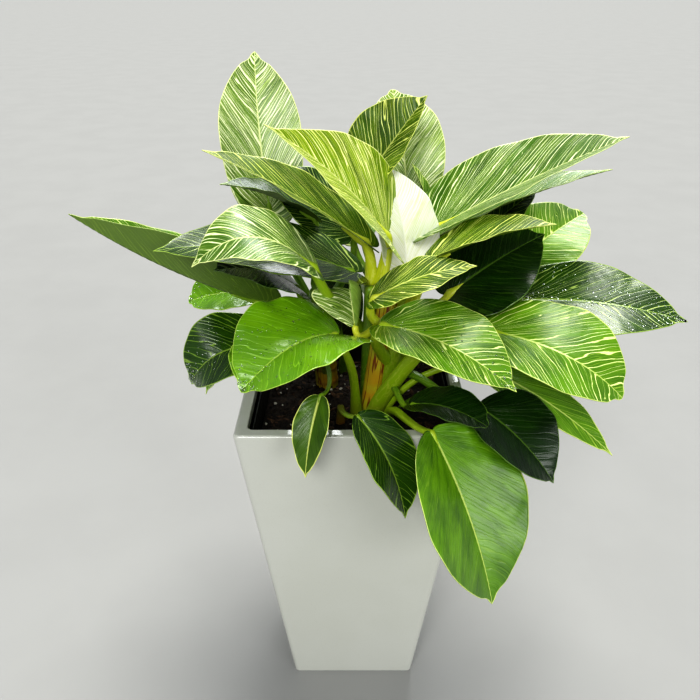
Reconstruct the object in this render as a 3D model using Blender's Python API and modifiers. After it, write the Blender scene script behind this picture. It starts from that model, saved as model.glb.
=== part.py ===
# A philodendron birkin: striped leaves on arching petioles, growing from three short stems
# in soil, in a black plastic liner that stands inside a tall, tapered, square gloss planter.
# Metres, +Z up. The origin is the centre of the planter's base, and the plant is seen from -Y.
import math

import bmesh
import bpy
from mathutils import Vector

# The planter: a square frustum with a rim turned in at the top
PLANTER_TOP = 0.200
PLANTER_BASE = 0.126
PLANTER_HEIGHT = 0.335
PLANTER_WALL = 0.004
PLANTER_FLOOR = 0.005
PLANTER_CORNER = 0.005
PLANTER_EDGE = 0.002
RIM_WIDTH = 0.011
RIM_DEPTH = 0.009

# The liner stands on the planter's floor and holds the soil
LINER_WALL = 0.002
LINER_BELOW_RIM = 0.012
LINER_CORNER = 0.006
DRAIN_RADIUS = 0.005
DRAIN_OFFSET = 0.030

GAP = 0.0003            # between pieces that touch
SOIL_BELOW_RIM = 0.028
SOIL_GRID = 13
SOIL_BUMP = 0.0022

# Stems: where each stands on the soil, how far its top leans, its radius and its height
STEM_DEPTH = 0.045
STEMS = {
    "stem_main": dict(foot=(0.030, 0.002), lean=(0.006, 0.004), radius=0.0130, height=0.105),
    "stem_left": dict(foot=(-0.026, 0.034), lean=(-0.006, 0.004), radius=0.0110, height=0.085),
    "stem_back": dict(foot=(0.036, 0.060), lean=(0.004, 0.010), radius=0.0110, height=0.095),
}

# Petioles: a straight peg in its socket, then a bend up to the blade
SOCKET_DEPTH = 0.007
PEG_LENGTH = 0.016
SOCKET_CLEARANCE = 0.00035
PETIOLE_STEPS = 4
MIDRIB_SHARE = 0.16     # of the blade's length that the petiole runs on into it

# Blades: rows along the midrib and columns across it
BLADE_THICKNESS = 0.0010
BLADE_ROWS = (0.0, 0.08, 0.22, 0.40, 0.60, 0.79, 0.93, 1.0)
BLADE_COLUMNS = (-1.0, -0.5, 0.0, 0.5, 1.0)

GREEN_DARK = (0.020, 0.085, 0.012)
GREEN_MID = (0.055, 0.180, 0.020)
GREEN_LIME = (0.260, 0.450, 0.040)
CREAM = (0.800, 0.800, 0.550)

# Each leaf: where its petiole meets the blade, its tip, the blade's width, how high the midrib
# arches over a straight line, how far the blade rolls about it, and the fold of its two halves.
LEAVES = {
    "leaf_tall_left": dict(
        stem="stem_left", root=0.056, turn=-145, base=(-0.080, 0.080, 0.473),
        tip=(-0.093, 0.140, 0.605), width=0.080, arch=0.004, bow=-0.003, lobe=1.0, widest=0.48,
        taper=0.95, colour=GREEN_MID),
    "leaf_centre_cream": dict(
        stem="stem_main", root=0.094, turn=-50, base=(0.028, 0.000, 0.472),
        tip=(-0.066, -0.045, 0.572), width=0.098, arch=0.010, roll=50, fold=(34, 6), lobe=0.9,
        widest=0.25, taper=1.5, colour=GREEN_LIME),
    "leaf_left_upper": dict(
        stem="stem_main", root=0.084, turn=-88, base=(0.010, -0.005, 0.468),
        tip=(-0.120, -0.010, 0.546), width=0.062, roll=16, fold=(28, 12), colour=GREEN_MID),
    "leaf_left_plain": dict(
        stem="stem_left", root=0.078, turn=-20, base=(-0.036, 0.038, 0.476),
        tip=(-0.115, 0.024, 0.510), width=0.040, colour=GREEN_DARK),
    "leaf_left_silver": dict(
        stem="stem_left", root=0.070, turn=130, base=(-0.002, 0.055, 0.454),
        tip=(-0.080, 0.070, 0.513), width=0.056, roll=8, fold=(32, 16), lobe=0.3,
        colour=GREEN_DARK),
    "leaf_left_arching": dict(
        stem="stem_main", root=0.050, turn=-78, base=(-0.032, -0.060, 0.467),
        tip=(-0.118, -0.096, 0.481), width=0.070, arch=0.026, peak=0.62, roll=14, fold=(4, 14),
        colour=GREEN_MID),
    "leaf_left_second": dict(
        stem="stem_left", root=0.060, turn=30, base=(-0.002, -0.006, 0.443),
        tip=(-0.160, -0.043, 0.474), width=0.087, arch=0.012, roll=5, colour=GREEN_DARK, fold=(12, 16)),
    "leaf_left_far": dict(
        stem="stem_left", root=0.036, turn=-50, base=(-0.084, 0.015, 0.404),
        tip=(-0.229, -0.025, 0.499), width=0.090, arch=-0.007, fold=(58, 30), colour=GREEN_MID),
    "leaf_left_shade": dict(
        stem="stem_left", root=0.052, turn=-42, base=(-0.061, -0.008, 0.437),
        tip=(-0.112, -0.050, 0.460), width=0.052, arch=0.008, fold=(36, 12), colour=GREEN_DARK),
    "leaf_left_wet": dict(
        stem="stem_left", root=0.028, turn=-120, base=(-0.088, 0.057, 0.396),
        tip=(-0.159, 0.047, 0.390), width=0.062, arch=0.006, roll=24, widest=0.5, taper=0.7,
        colour=GREEN_MID),
    "leaf_left_low": dict(
        stem="stem_left", root=0.020, turn=-58, base=(-0.078, 0.000, 0.367),
        tip=(-0.146, -0.030, 0.345), width=0.074, arch=0.022, peak=0.62, roll=25, widest=0.45,
        taper=0.8, colour=GREEN_DARK),
    "leaf_left_low_small": dict(
        stem="stem_left", root=0.008, turn=-93, base=(-0.104, 0.030, 0.347),
        tip=(-0.146, 0.020, 0.302), width=0.034, arch=0.006, roll=10, petiole=0.0020,
        colour=GREEN_MID),
    "leaf_left_small": dict(
        stem="stem_left", root=0.026, turn=6, base=(-0.080, -0.050, 0.392),
        tip=(-0.092, -0.095, 0.383), width=0.034, petiole=0.0018, colour=GREEN_MID),
    "leaf_front_left": dict(
        foot=(0.003, -0.022), base=(-0.006, -0.070, 0.417), tip=(-0.082, -0.140, 0.402),
        width=0.090, arch=0.016, roll=16, fold=(24, 14), lobe=0.8, widest=0.48, taper=0.8,
        colour=GREEN_MID),
    "leaf_hang_small": dict(
        stem="stem_left", root=0.010, turn=-2, base=(-0.027, -0.094, 0.371),
        tip=(-0.039, -0.125, 0.313), width=0.031, petiole=0.0016, lobe=0.0, colour=GREEN_DARK),
    "leaf_hang_mid": dict(
        foot=(-0.012, -0.035), base=(0.003, -0.097, 0.353), tip=(0.041, -0.140, 0.284),
        width=0.052, bow=-0.004, lobe=0.2, widest=0.45, petiole=0.0020, colour=GREEN_DARK),
    "leaf_hang_big": dict(
        foot=(0.030, -0.040), base=(0.062, -0.110, 0.346), tip=(0.111, -0.170, 0.221),
        width=0.112, arch=0.008, bow=-0.001, lobe=0.2, widest=0.45, colour=GREEN_MID),
    "leaf_front_right": dict(
        stem="stem_main", root=0.036, turn=-12, base=(0.024, -0.060, 0.417),
        tip=(0.121, -0.125, 0.393), width=0.080, arch=0.012, roll=-12, fold=(14, 16), lobe=0.45,
        widest=0.45, colour=GREEN_MID),
    "leaf_right_striped": dict(
        stem="stem_main", root=0.044, turn=66, base=(0.110, -0.038, 0.402),
        tip=(0.210, -0.105, 0.375), width=0.092, arch=0.016, peak=0.62, roll=-18, fold=(12, 14),
        widest=0.48, taper=0.8, colour=GREEN_MID),
    "leaf_right_far": dict(
        stem="stem_main", root=0.054, turn=104, base=(0.149, 0.020, 0.404),
        tip=(0.289, -0.025, 0.403), width=0.086, arch=0.010, roll=-24, fold=(10, 4),
        colour=GREEN_DARK),
    "leaf_right_upper": dict(
        stem="stem_main", root=0.086, turn=122, base=(0.072, 0.030, 0.469),
        tip=(0.234, 0.038, 0.547), width=0.098, arch=0.004, roll=-24, fold=(12, 38), lobe=0.6,
        widest=0.34, colour=GREEN_MID),
    "leaf_right_edge": dict(
        stem="stem_main", root=0.074, turn=162, base=(0.073, 0.056, 0.450),
        tip=(0.234, 0.064, 0.513), width=0.064, roll=2, lobe=0.3, colour=GREEN_MID),
    "leaf_right_silver": dict(
        stem="stem_back", root=0.058, turn=95, base=(0.111, 0.060, 0.438),
        tip=(0.172, 0.075, 0.491), width=0.056, roll=-20, colour=GREEN_DARK),
    "leaf_right_lime": dict(
        stem="stem_main", root=0.078, turn=48, base=(0.064, -0.029, 0.461),
        tip=(0.157, -0.046, 0.497), width=0.065, roll=-15, fold=(2, 33), colour=GREEN_LIME),
    "leaf_right_back": dict(
        stem="stem_back", root=0.040, turn=80, base=(0.138, 0.062, 0.408),
        tip=(0.226, 0.098, 0.462), width=0.082, roll=-28, fold=(8, 8), widest=0.5, taper=0.65,
        colour=GREEN_MID),
    "leaf_right_dark": dict(
        stem="stem_main", root=0.066, turn=74, base=(0.085, -0.002, 0.420),
        tip=(0.168, 0.020, 0.467), width=0.092, roll=-32, fold=(6, 6), colour=GREEN_DARK),
    "leaf_top_pale": dict(
        stem="stem_back", root=0.085, turn=140, base=(0.050, 0.074, 0.480),
        tip=(0.036, 0.120, 0.574), width=0.078, bow=0.001, lobe=0.5, widest=0.5, taper=0.85,
        colour=GREEN_MID),
    "leaf_top_lime": dict(
        stem="stem_back", root=0.080, turn=-67, base=(0.013, 0.060, 0.506),
        tip=(0.063, 0.060, 0.577), width=0.080, arch=0.002, roll=-62, fold=(14, 80),
        colour=GREEN_LIME),
    "leaf_top_small": dict(
        stem="stem_back", root=0.072, turn=85, base=(0.065, 0.064, 0.461),
        tip=(0.053, 0.069, 0.517), width=0.024, petiole=0.0018, colour=GREEN_MID),
    "leaf_centre_lime": dict(
        stem="stem_main", root=0.060, turn=8, base=(0.016, -0.067, 0.444),
        tip=(0.092, -0.078, 0.475), width=0.054, roll=-15, fold=(0, 8), colour=GREEN_LIME),
    "leaf_curled": dict(
        stem="stem_main", root=0.070, turn=-20, base=(0.002, -0.050, 0.416),
        tip=(0.000, -0.030, 0.439), width=0.038, fold=(14, 38), lobe=0.0, widest=0.85,
        taper=0.5, colour=CREAM),
    "leaf_right_hang_far": dict(
        stem="stem_main", root=0.026, turn=82, base=(0.122, -0.010, 0.348),
        tip=(0.228, -0.070, 0.294), width=0.045, arch=0.010, roll=-18, fold=(10, 6),
        colour=GREEN_MID),
    "leaf_right_hang_dark": dict(
        stem="stem_main", root=0.018, turn=46, base=(0.107, -0.070, 0.344),
        tip=(0.165, -0.112, 0.297), width=0.080, arch=0.010, roll=-20, fold=(10, 28), lobe=0.3,
        colour=GREEN_DARK),
    "leaf_right_low": dict(
        stem="stem_main", root=0.010, turn=14, base=(0.050, -0.068, 0.346),
        tip=(0.107, -0.105, 0.348), width=0.042, arch=0.008, roll=-10, widest=0.55, taper=0.6,
        petiole=0.0022, colour=GREEN_DARK),
    "leaf_white_new": dict(
        stem="stem_main", root=0.098, turn=80, base=(0.0495, -0.005, 0.440),
        tip=(0.033, 0.012, 0.527), width=0.048, fold=(32, 32), lobe=0.8, colour=CREAM),
    "leaf_back_centre": dict(
        stem="stem_back", root=0.056, turn=-138, base=(0.000, 0.115, 0.430),
        tip=(-0.045, 0.235, 0.455), width=0.080, arch=0.012, colour=GREEN_MID),
    "leaf_back_right": dict(
        stem="stem_back", root=0.031, turn=150, base=(0.075, 0.125, 0.420),
        tip=(0.110, 0.245, 0.430), width=0.080, arch=0.012, colour=GREEN_MID),
    "leaf_back_left": dict(
        stem="stem_left", root=0.043, turn=-172, base=(-0.070, 0.100, 0.400),
        tip=(-0.160, 0.170, 0.400), width=0.075, arch=0.012, colour=GREEN_DARK),
    "leaf_back_side": dict(
        stem="stem_back", root=0.019, turn=110, base=(0.130, 0.100, 0.385),
        tip=(0.225, 0.165, 0.365), width=0.070, arch=0.012, colour=GREEN_DARK),
    "leaf_inner": dict(
        foot=(-0.010, 0.058), base=(-0.012, 0.068, 0.345), tip=(-0.010, 0.102, 0.418),
        width=0.046, petiole=0.0022, colour=GREEN_DARK),
    "leaf_back_low": dict(
        stem="stem_back", root=0.015, turn=-175, base=(0.030, 0.120, 0.370),
        tip=(0.030, 0.205, 0.310), width=0.055, arch=0.010, colour=GREEN_MID),
}
LEAF_DEFAULTS = dict(arch=0.006, peak=0.5, roll=0, fold=(18, 18), curl=0, twist=0, lobe=0.7,
                     widest=0.38, taper=1.1, bow=0.0, wave=0.0, knee=0.5, rise=55, petiole=0.0028,
                     stem=None, foot=None, turn=None)

SOIL_TOP = PLANTER_HEIGHT - SOIL_BELOW_RIM


# Helpers

def clear_scene():
    for obj in list(bpy.data.objects):
        bpy.data.objects.remove(obj)


def collection(name, shown=True):
    made = bpy.data.collections.new(name)
    bpy.context.scene.collection.children.link(made)
    made.hide_render = not shown
    return made


def material(name, colour, roughness, metallic=0.0):
    made = bpy.data.materials.new(name)
    made.use_nodes = True
    shader = made.node_tree.nodes["Principled BSDF"]
    shader.inputs["Base Color"].default_value = (*colour, 1.0)
    shader.inputs["Roughness"].default_value = roughness
    shader.inputs["Metallic"].default_value = metallic
    return made


def new_object(name, mesh, where, look=None):
    obj = bpy.data.objects.new(name, mesh)
    where.objects.link(obj)
    if look:
        mesh.materials.clear()
        mesh.materials.append(look)
    return obj


def as_helper(obj):
    obj.hide_render = True
    obj.display_type = "WIRE"
    return obj


def boolean(obj, other, operation):
    modifier = obj.modifiers.new(other.name, "BOOLEAN")
    modifier.operation = operation
    modifier.object = other
    return modifier


def bevel(obj, width, segments, angle=30):
    modifier = obj.modifiers.new("Bevel", "BEVEL")
    modifier.width = width
    modifier.segments = segments
    modifier.angle_limit = math.radians(angle)
    return modifier


def frustum(name, top, base, low, high, corner, where, look=None):
    """A square frustum between two heights, from a cube with its upright edges rounded."""
    bm = bmesh.new()
    bmesh.ops.create_cube(bm, size=1.0)
    for vert in bm.verts:
        side = top if vert.co.z > 0 else base
        vert.co = Vector((vert.co.x * side, vert.co.y * side, high if vert.co.z > 0 else low))
    upright = [e for e in bm.edges if abs(e.verts[0].co.z - e.verts[1].co.z) > 0.001]
    bmesh.ops.bevel(bm, geom=upright, offset=corner, offset_type="OFFSET", segments=3,
                    profile=0.5, affect="EDGES")
    mesh = bpy.data.meshes.new(name)
    bm.to_mesh(mesh)
    bm.free()
    return new_object(name, mesh, where, look)


def planter_side(z):
    """The planter's outer width at a height."""
    return PLANTER_BASE + (PLANTER_TOP - PLANTER_BASE) * z / PLANTER_HEIGHT


def tube_mesh(name, points, radii, where):
    """A closed tube mesh through the points, from a poly curve with a round bevel."""
    curve = bpy.data.curves.new(name, "CURVE")
    curve.dimensions = "3D"
    curve.bevel_depth = 1.0
    curve.bevel_resolution = 2
    curve.use_fill_caps = True
    spline = curve.splines.new("POLY")
    spline.points.add(len(points) - 1)
    for point, place, radius in zip(spline.points, points, radii):
        point.co = (*place, 1.0)
        point.radius = radius
    guide = bpy.data.objects.new(name + "_guide", curve)
    where.objects.link(guide)
    bpy.context.view_layer.update()
    graph = bpy.context.evaluated_depsgraph_get()
    mesh = bpy.data.meshes.new_from_object(guide.evaluated_get(graph))
    bm = bmesh.new()
    bm.from_mesh(mesh)
    bmesh.ops.remove_doubles(bm, verts=bm.verts, dist=0.00002)
    bmesh.ops.recalc_face_normals(bm, faces=bm.faces)
    bm.to_mesh(mesh)
    bm.free()
    bpy.data.objects.remove(guide)
    mesh.name = name
    return mesh


# The planter, its liner and the soil

def make_planter(parts, cutters, look):
    planter = frustum("planter", PLANTER_TOP, PLANTER_BASE, 0.0, PLANTER_HEIGHT,
                      PLANTER_CORNER, parts, look)
    bevel(planter, PLANTER_EDGE, 2, 60)
    under_rim = PLANTER_HEIGHT - RIM_DEPTH
    cavity = as_helper(frustum(
        "planter_cavity", planter_side(under_rim) - 2 * PLANTER_WALL,
        planter_side(PLANTER_FLOOR) - 2 * PLANTER_WALL, PLANTER_FLOOR, under_rim,
        0.002, cutters))
    mouth_side = PLANTER_TOP - 2 * RIM_WIDTH
    mouth = as_helper(frustum("planter_mouth", mouth_side, mouth_side, under_rim - 0.006,
                              PLANTER_HEIGHT + 0.010, LINER_CORNER, cutters))
    boolean(planter, cavity, "DIFFERENCE")
    boolean(planter, mouth, "DIFFERENCE")
    return planter


def liner_side(z, inset):
    """The liner's width at a height, less an inset on each side."""
    top = PLANTER_HEIGHT - LINER_BELOW_RIM
    at_top = PLANTER_TOP - 2 * RIM_WIDTH - 0.002
    at_floor = planter_side(PLANTER_FLOOR) - 2 * PLANTER_WALL - 0.006
    share = (z - PLANTER_FLOOR) / (top - PLANTER_FLOOR)
    return at_floor + (at_top - at_floor) * share - 2 * inset


def make_liner(parts, cutters, look):
    low = PLANTER_FLOOR + GAP
    high = PLANTER_HEIGHT - LINER_BELOW_RIM
    inner_low = low + LINER_WALL
    liner = frustum("liner", liner_side(high, 0), liner_side(low, 0), low, high,
                    LINER_CORNER, parts, look)
    inside = as_helper(frustum(
        "liner_inside", liner_side(high + 0.010, LINER_WALL), liner_side(inner_low, LINER_WALL),
        inner_low, high + 0.010, LINER_CORNER - LINER_WALL, cutters))
    boolean(liner, inside, "DIFFERENCE")
    for x in (-DRAIN_OFFSET, DRAIN_OFFSET):
        for y in (-DRAIN_OFFSET, DRAIN_OFFSET):
            bpy.ops.mesh.primitive_cylinder_add(vertices=12, radius=DRAIN_RADIUS, depth=0.012,
                                                location=(x, y, low))
            drain = bpy.context.object
            drain.name = "drain"
            for owner in list(drain.users_collection):
                owner.objects.unlink(drain)
            cutters.objects.link(drain)
            boolean(liner, as_helper(drain), "DIFFERENCE")
    return liner


def soil_height(x, y):
    """The soil's surface: low mounds with finer crumbs on them."""
    mounds = math.sin(31 * x + 0.7) * math.cos(37 * y - 0.4)
    crumbs = math.sin(173 * x + 61 * y) * math.cos(149 * y - 83 * x)
    return SOIL_TOP + SOIL_BUMP * (mounds + 0.6 * crumbs)


def make_soil(parts, look):
    """A grid for the surface, drawn down to the liner's floor at its border."""
    low = PLANTER_FLOOR + 2 * GAP + LINER_WALL
    top_side = liner_side(SOIL_TOP - 0.004, LINER_WALL + GAP + 0.0004)
    base_side = liner_side(low, LINER_WALL + GAP + 0.0004)
    bm = bmesh.new()
    bmesh.ops.create_grid(bm, x_segments=SOIL_GRID, y_segments=SOIL_GRID, size=0.5)
    for vert in bm.verts:
        x, y = vert.co.x * top_side, vert.co.y * top_side
        rounding = corner_rounding(vert.co.x, vert.co.y)
        vert.co = Vector((x * rounding, y * rounding, soil_height(x, y)))
    border = [edge for edge in bm.edges if edge.is_boundary]
    made = bmesh.ops.extrude_edge_only(bm, edges=border)["geom"]
    lower = [item for item in made if isinstance(item, bmesh.types.BMVert)]
    for vert in lower:
        vert.co.x *= base_side / top_side
        vert.co.y *= base_side / top_side
        vert.co.z = low
    bmesh.ops.contextual_create(bm, geom=[e for e in bm.edges if e.is_boundary])
    bmesh.ops.recalc_face_normals(bm, faces=bm.faces)
    mesh = bpy.data.meshes.new("soil")
    bm.to_mesh(mesh)
    bm.free()
    return new_object("soil", mesh, parts, look)


def corner_rounding(x, y):
    """Draws the corners of a unit square in, to clear the liner's rounded ones."""
    reach = min(abs(x), abs(y)) * 2
    return 1.0 - 0.030 * reach ** 6


# Stems, and where petioles leave them

def stem_centre(stem, height):
    """The stem's axis at a height over the soil."""
    share = max(height, 0.0) / stem["height"]
    return Vector((stem["foot"][0] + stem["lean"][0] * share,
                   stem["foot"][1] + stem["lean"][1] * share, SOIL_TOP + height))


def stem_radius(stem, height):
    share = max(height, 0.0) / stem["height"]
    return stem["radius"] * (1.0 - 0.35 * share ** 2)


def make_stem(name, stem, parts, look):
    heights = [-STEM_DEPTH, 0.0] + [stem["height"] * k / 5 for k in range(1, 6)]
    points = [stem_centre(stem, h) for h in heights]
    radii = [stem_radius(stem, h) * (0.8 if h == heights[-1] else 1.0) for h in heights]
    mesh = tube_mesh(name, points, radii, parts)
    return new_object(name, mesh, parts, look)


def petiole_start(leaf):
    """The petiole's first point, down in its socket, and the way it leaves."""
    base = Vector(leaf["base"])
    rise = math.radians(leaf["rise"])
    if leaf["stem"] is None:
        foot = Vector((*leaf["foot"], SOIL_TOP - 0.010))
        out = base - foot
        out.z = 0.0
        way = (out.normalized() * 0.12 + Vector((0, 0, 1))).normalized()
        return foot, way
    stem = STEMS[leaf["stem"]]
    centre = stem_centre(stem, leaf["root"])
    out = base - centre
    out.z = 0.0
    if leaf["turn"] is not None:
        turn = math.radians(leaf["turn"])
        out = Vector((math.sin(turn), -math.cos(turn), 0.0))
    out.normalize()
    start = centre + out * (stem_radius(stem, leaf["root"]) - SOCKET_DEPTH)
    return start, (out * math.cos(rise) + Vector((0, 0, math.sin(rise)))).normalized()


def bezier(a, b, c, d, t):
    s = 1.0 - t
    return a * s ** 3 + b * 3 * s * s * t + c * 3 * s * t * t + d * t ** 3


def petiole_route(leaf):
    """Points and radii from the socket to a little way along the blade's midrib."""
    start, way = petiole_start(leaf)
    peg_end = start + way * PEG_LENGTH
    base = Vector(leaf["base"])
    arrive = (midrib(leaf, 0.02) - midrib(leaf, 0.0)).normalized()
    arrive = (arrive * (1 - leaf["knee"]) + Vector((0, 0, 1)) * leaf["knee"]).normalized()
    reach = (base - peg_end).length * 0.36
    points = [start, peg_end]
    for k in range(1, PETIOLE_STEPS):
        points.append(bezier(peg_end, peg_end + way * reach, base - arrive * reach, base,
                             k / PETIOLE_STEPS))
    points += [midrib(leaf, 0.0), midrib(leaf, MIDRIB_SHARE)]
    full = leaf["petiole"]
    count = PETIOLE_STEPS + 1
    radii = [full * (1.25 - 0.45 * k / count) for k in range(count)]
    radii += [full * 0.72, 0.0010]
    return points, radii


# Blades

def blade_frame(leaf):
    """The chord from base to tip, the way across the blade and the way up from it."""
    chord = Vector(leaf["tip"]) - Vector(leaf["base"])
    along = chord.normalized()
    up = Vector((0, 0, 1)) - along * along.z
    up.normalize()
    across = along.cross(up)
    turn = math.radians(leaf["roll"])
    rolled = across * math.cos(turn) + up * math.sin(turn)
    return chord, rolled, rolled.cross(along)


def midrib(leaf, u):
    chord, across, up = blade_frame(leaf)
    base = Vector(leaf["base"])
    crown = base + chord * leaf["peak"] + up * (2 * leaf["arch"]) + across * (2 * leaf["bow"])
    s = 1.0 - u
    return base * (s * s) + crown * (2 * s * u) + (base + chord) * (u * u)


def half_width(leaf, u):
    """The blade's outline: round or heart-shaped at the base, pointed at the tip."""
    widest = leaf["widest"]
    at_base = 0.12 + 0.42 * leaf["lobe"]
    if u < widest:
        share = at_base + (1 - at_base) * math.sin(math.pi / 2 * (u / widest) ** 0.75)
    else:
        share = (1 - ((u - widest) / (1 - widest)) ** 2) ** leaf["taper"]
    return leaf["width"] / 2 * share


def blade_point(leaf, u, v):
    """A point of the blade: u runs from base to tip, v from the left edge (-1) to the right (1)."""
    chord, across, _ = blade_frame(leaf)
    step = 0.01
    ahead = (midrib(leaf, min(u + step, 1.0)) - midrib(leaf, max(u - step, 0.0))).normalized()
    turn = math.radians(leaf["twist"]) * (u - 0.3)
    up = across.cross(ahead)
    side = across * math.cos(turn) + up * math.sin(turn)
    up = side.cross(ahead)
    fold = leaf["fold"][1 if v > 0 else 0]
    angle = math.radians(fold + leaf["curl"] * abs(v))
    reach = abs(v) * half_width(leaf, u)
    back = 0.09 * leaf["lobe"] * chord.length * abs(v) ** 1.4 * (1 - u) ** 9
    ripple = leaf["wave"] * math.sin(2 * math.pi * (2.2 * u + (0.3 if v > 0 else 0.0)))
    lift = reach * math.sin(angle) + ripple * v * v * math.sin(math.pi * u)
    return (midrib(leaf, u) + side * math.copysign(reach * math.cos(angle), v)
            + up * lift - ahead * back)


def make_leaf(name, leaf, parts, helpers, look):
    """The blade is a bent grid with Solidify, joined to its petiole."""
    rows, columns = len(BLADE_ROWS), len(BLADE_COLUMNS)
    bm = bmesh.new()
    bmesh.ops.create_grid(bm, x_segments=rows - 1, y_segments=columns - 1, size=0.5)
    for vert in bm.verts:
        u = BLADE_ROWS[round((vert.co.x + 0.5) * (rows - 1))]
        v = BLADE_COLUMNS[round((0.5 - vert.co.y) * (columns - 1))]
        vert.co = blade_point(leaf, u, v)
    bmesh.ops.remove_doubles(bm, verts=bm.verts, dist=0.00002)
    bmesh.ops.triangulate(bm, faces=bm.faces)
    mesh = bpy.data.meshes.new(name)
    bm.to_mesh(mesh)
    bm.free()
    blade = new_object(name, mesh, parts, look)
    solid = blade.modifiers.new("Thickness", "SOLIDIFY")
    solid.thickness = BLADE_THICKNESS
    solid.offset = 0.0
    points, radii = petiole_route(leaf)
    tube = as_helper(new_object(name + "_petiole", tube_mesh(name + "_petiole", points, radii, helpers),
                                helpers, look))
    boolean(blade, tube, "UNION")
    return blade


def make_socket(name, leaf, helpers):
    """A cutter round the straight start of a petiole."""
    start, way = petiole_start(leaf)
    radius = leaf["petiole"] * 1.25 + SOCKET_CLEARANCE
    points = [start - way * SOCKET_CLEARANCE, start + way * (PEG_LENGTH + 0.004)]
    mesh = tube_mesh(name + "_socket", points, [radius, radius], helpers)
    return as_helper(new_object(name + "_socket", mesh, helpers))


def make_stem_hole(name, stem, helpers):
    foot = Vector((*stem["foot"], SOIL_TOP))
    points = [foot - Vector((0, 0, STEM_DEPTH + GAP)), foot + Vector((0, 0, 0.012))]
    radii = [stem_radius(stem, 0.0) + SOCKET_CLEARANCE] * 2
    mesh = tube_mesh(name + "_hole", points, radii, helpers)
    return as_helper(new_object(name + "_hole", mesh, helpers))


def main():
    clear_scene()
    parts = collection("philodendron_birkin")
    helpers = collection("cutters", shown=False)
    planter = make_planter(parts, helpers, material("white_gloss_plastic", (0.78, 0.80, 0.77), 0.15))
    liner = make_liner(parts, helpers, material("black_plastic", (0.015, 0.016, 0.015), 0.5))
    soil = make_soil(parts, material("potting_soil", (0.030, 0.020, 0.014), 0.95))
    stem_look = material("stem", (0.36, 0.42, 0.06), 0.45)
    stems = {}
    for name, stem in STEMS.items():
        stems[name] = make_stem(name, stem, parts, stem_look)
        boolean(soil, make_stem_hole(name, stem, helpers), "DIFFERENCE")
    looks = {}
    for name, given in LEAVES.items():
        leaf = {**LEAF_DEFAULTS, **given}
        colour = leaf["colour"]
        if colour not in looks:
            looks[colour] = material("leaf_" + str(len(looks)), colour, 0.4)
        make_leaf(name, leaf, parts, helpers, looks[colour])
        holder = soil if leaf["stem"] is None else stems[leaf["stem"]]
        boolean(holder, make_socket(name, leaf, helpers), "DIFFERENCE")
    for obj in (planter, liner, soil, *stems.values()):
        obj.data.shade_smooth()
        obj.data.set_sharp_from_angle(angle=math.radians(35))


main()
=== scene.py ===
import math
import random

import bmesh
import bpy
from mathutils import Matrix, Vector, noise


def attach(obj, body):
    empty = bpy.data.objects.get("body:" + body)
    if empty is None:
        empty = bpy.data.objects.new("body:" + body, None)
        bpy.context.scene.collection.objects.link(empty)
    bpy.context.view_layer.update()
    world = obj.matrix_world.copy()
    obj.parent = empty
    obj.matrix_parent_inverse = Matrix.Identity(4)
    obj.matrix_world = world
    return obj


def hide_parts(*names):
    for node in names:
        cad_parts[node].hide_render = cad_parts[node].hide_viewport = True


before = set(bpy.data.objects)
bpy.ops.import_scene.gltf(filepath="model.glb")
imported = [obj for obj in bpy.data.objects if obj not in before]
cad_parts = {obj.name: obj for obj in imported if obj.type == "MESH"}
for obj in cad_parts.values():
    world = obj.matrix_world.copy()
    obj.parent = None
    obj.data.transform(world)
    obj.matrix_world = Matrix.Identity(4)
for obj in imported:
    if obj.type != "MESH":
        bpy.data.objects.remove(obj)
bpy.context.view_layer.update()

up, behind = Vector((0, 0, 1)), Vector((0, 1, 0))
soilTop = 0.307  # height of the soil's surface over the planter's base


# Shader helpers

def feed(tree, socket, value):
    if isinstance(value, bpy.types.NodeSocket):
        tree.links.new(value, socket)
    else:
        socket.default_value = value


def addNode(tree, kind, inputs=None, **settings):
    node = tree.nodes.new(kind)
    for key, value in settings.items():
        setattr(node, key, value)
    for key, value in (inputs or {}).items():
        feed(tree, node.inputs[key], value)
    return node


def calc(tree, operation, *values, clamp=False):
    return addNode(tree, "ShaderNodeMath", dict(enumerate(values)), operation=operation,
                   use_clamp=clamp).outputs[0]


def times(tree, first, second):
    return calc(tree, "MULTIPLY", first, second)


def plus(tree, first, second, clamp=False):
    return calc(tree, "ADD", first, second, clamp=clamp)


def smooth(tree, value, low, high, start=0.0, end=1.0):
    inputs = {"Value": value, "From Min": low, "From Max": high, "To Min": start, "To Max": end}
    return addNode(tree, "ShaderNodeMapRange", inputs, interpolation_type="SMOOTHSTEP").outputs[0]


def mixColour(tree, share, first, second):
    node = addNode(tree, "ShaderNodeMix", data_type="RGBA")
    for index, value in ((0, share), (6, first), (7, second)):
        feed(tree, node.inputs[index], (*value, 1.0) if isinstance(value, tuple) else value)
    return node.outputs[2]


def layered(tree, colour, *layers):
    for share, tint in layers:
        colour = mixColour(tree, share, colour, tint)
    return colour


def vectorOf(tree, x, y, z):
    return addNode(tree, "ShaderNodeCombineXYZ", {0: x, 1: y, 2: z}).outputs[0]


def noiseOf(tree, vector, scale=1.0, detail=2.0, roughness=0.5):
    inputs = {"Vector": vector, "Scale": scale, "Detail": detail, "Roughness": roughness}
    return addNode(tree, "ShaderNodeTexNoise", inputs).outputs[0]


def attributeOf(tree, name):
    return addNode(tree, "ShaderNodeAttribute", attribute_name=name).outputs["Vector"]


def splitOf(tree, vector):
    return addNode(tree, "ShaderNodeSeparateXYZ", {0: vector}).outputs


def objectPlace(tree):
    return addNode(tree, "ShaderNodeTexCoord").outputs["Object"]


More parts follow.
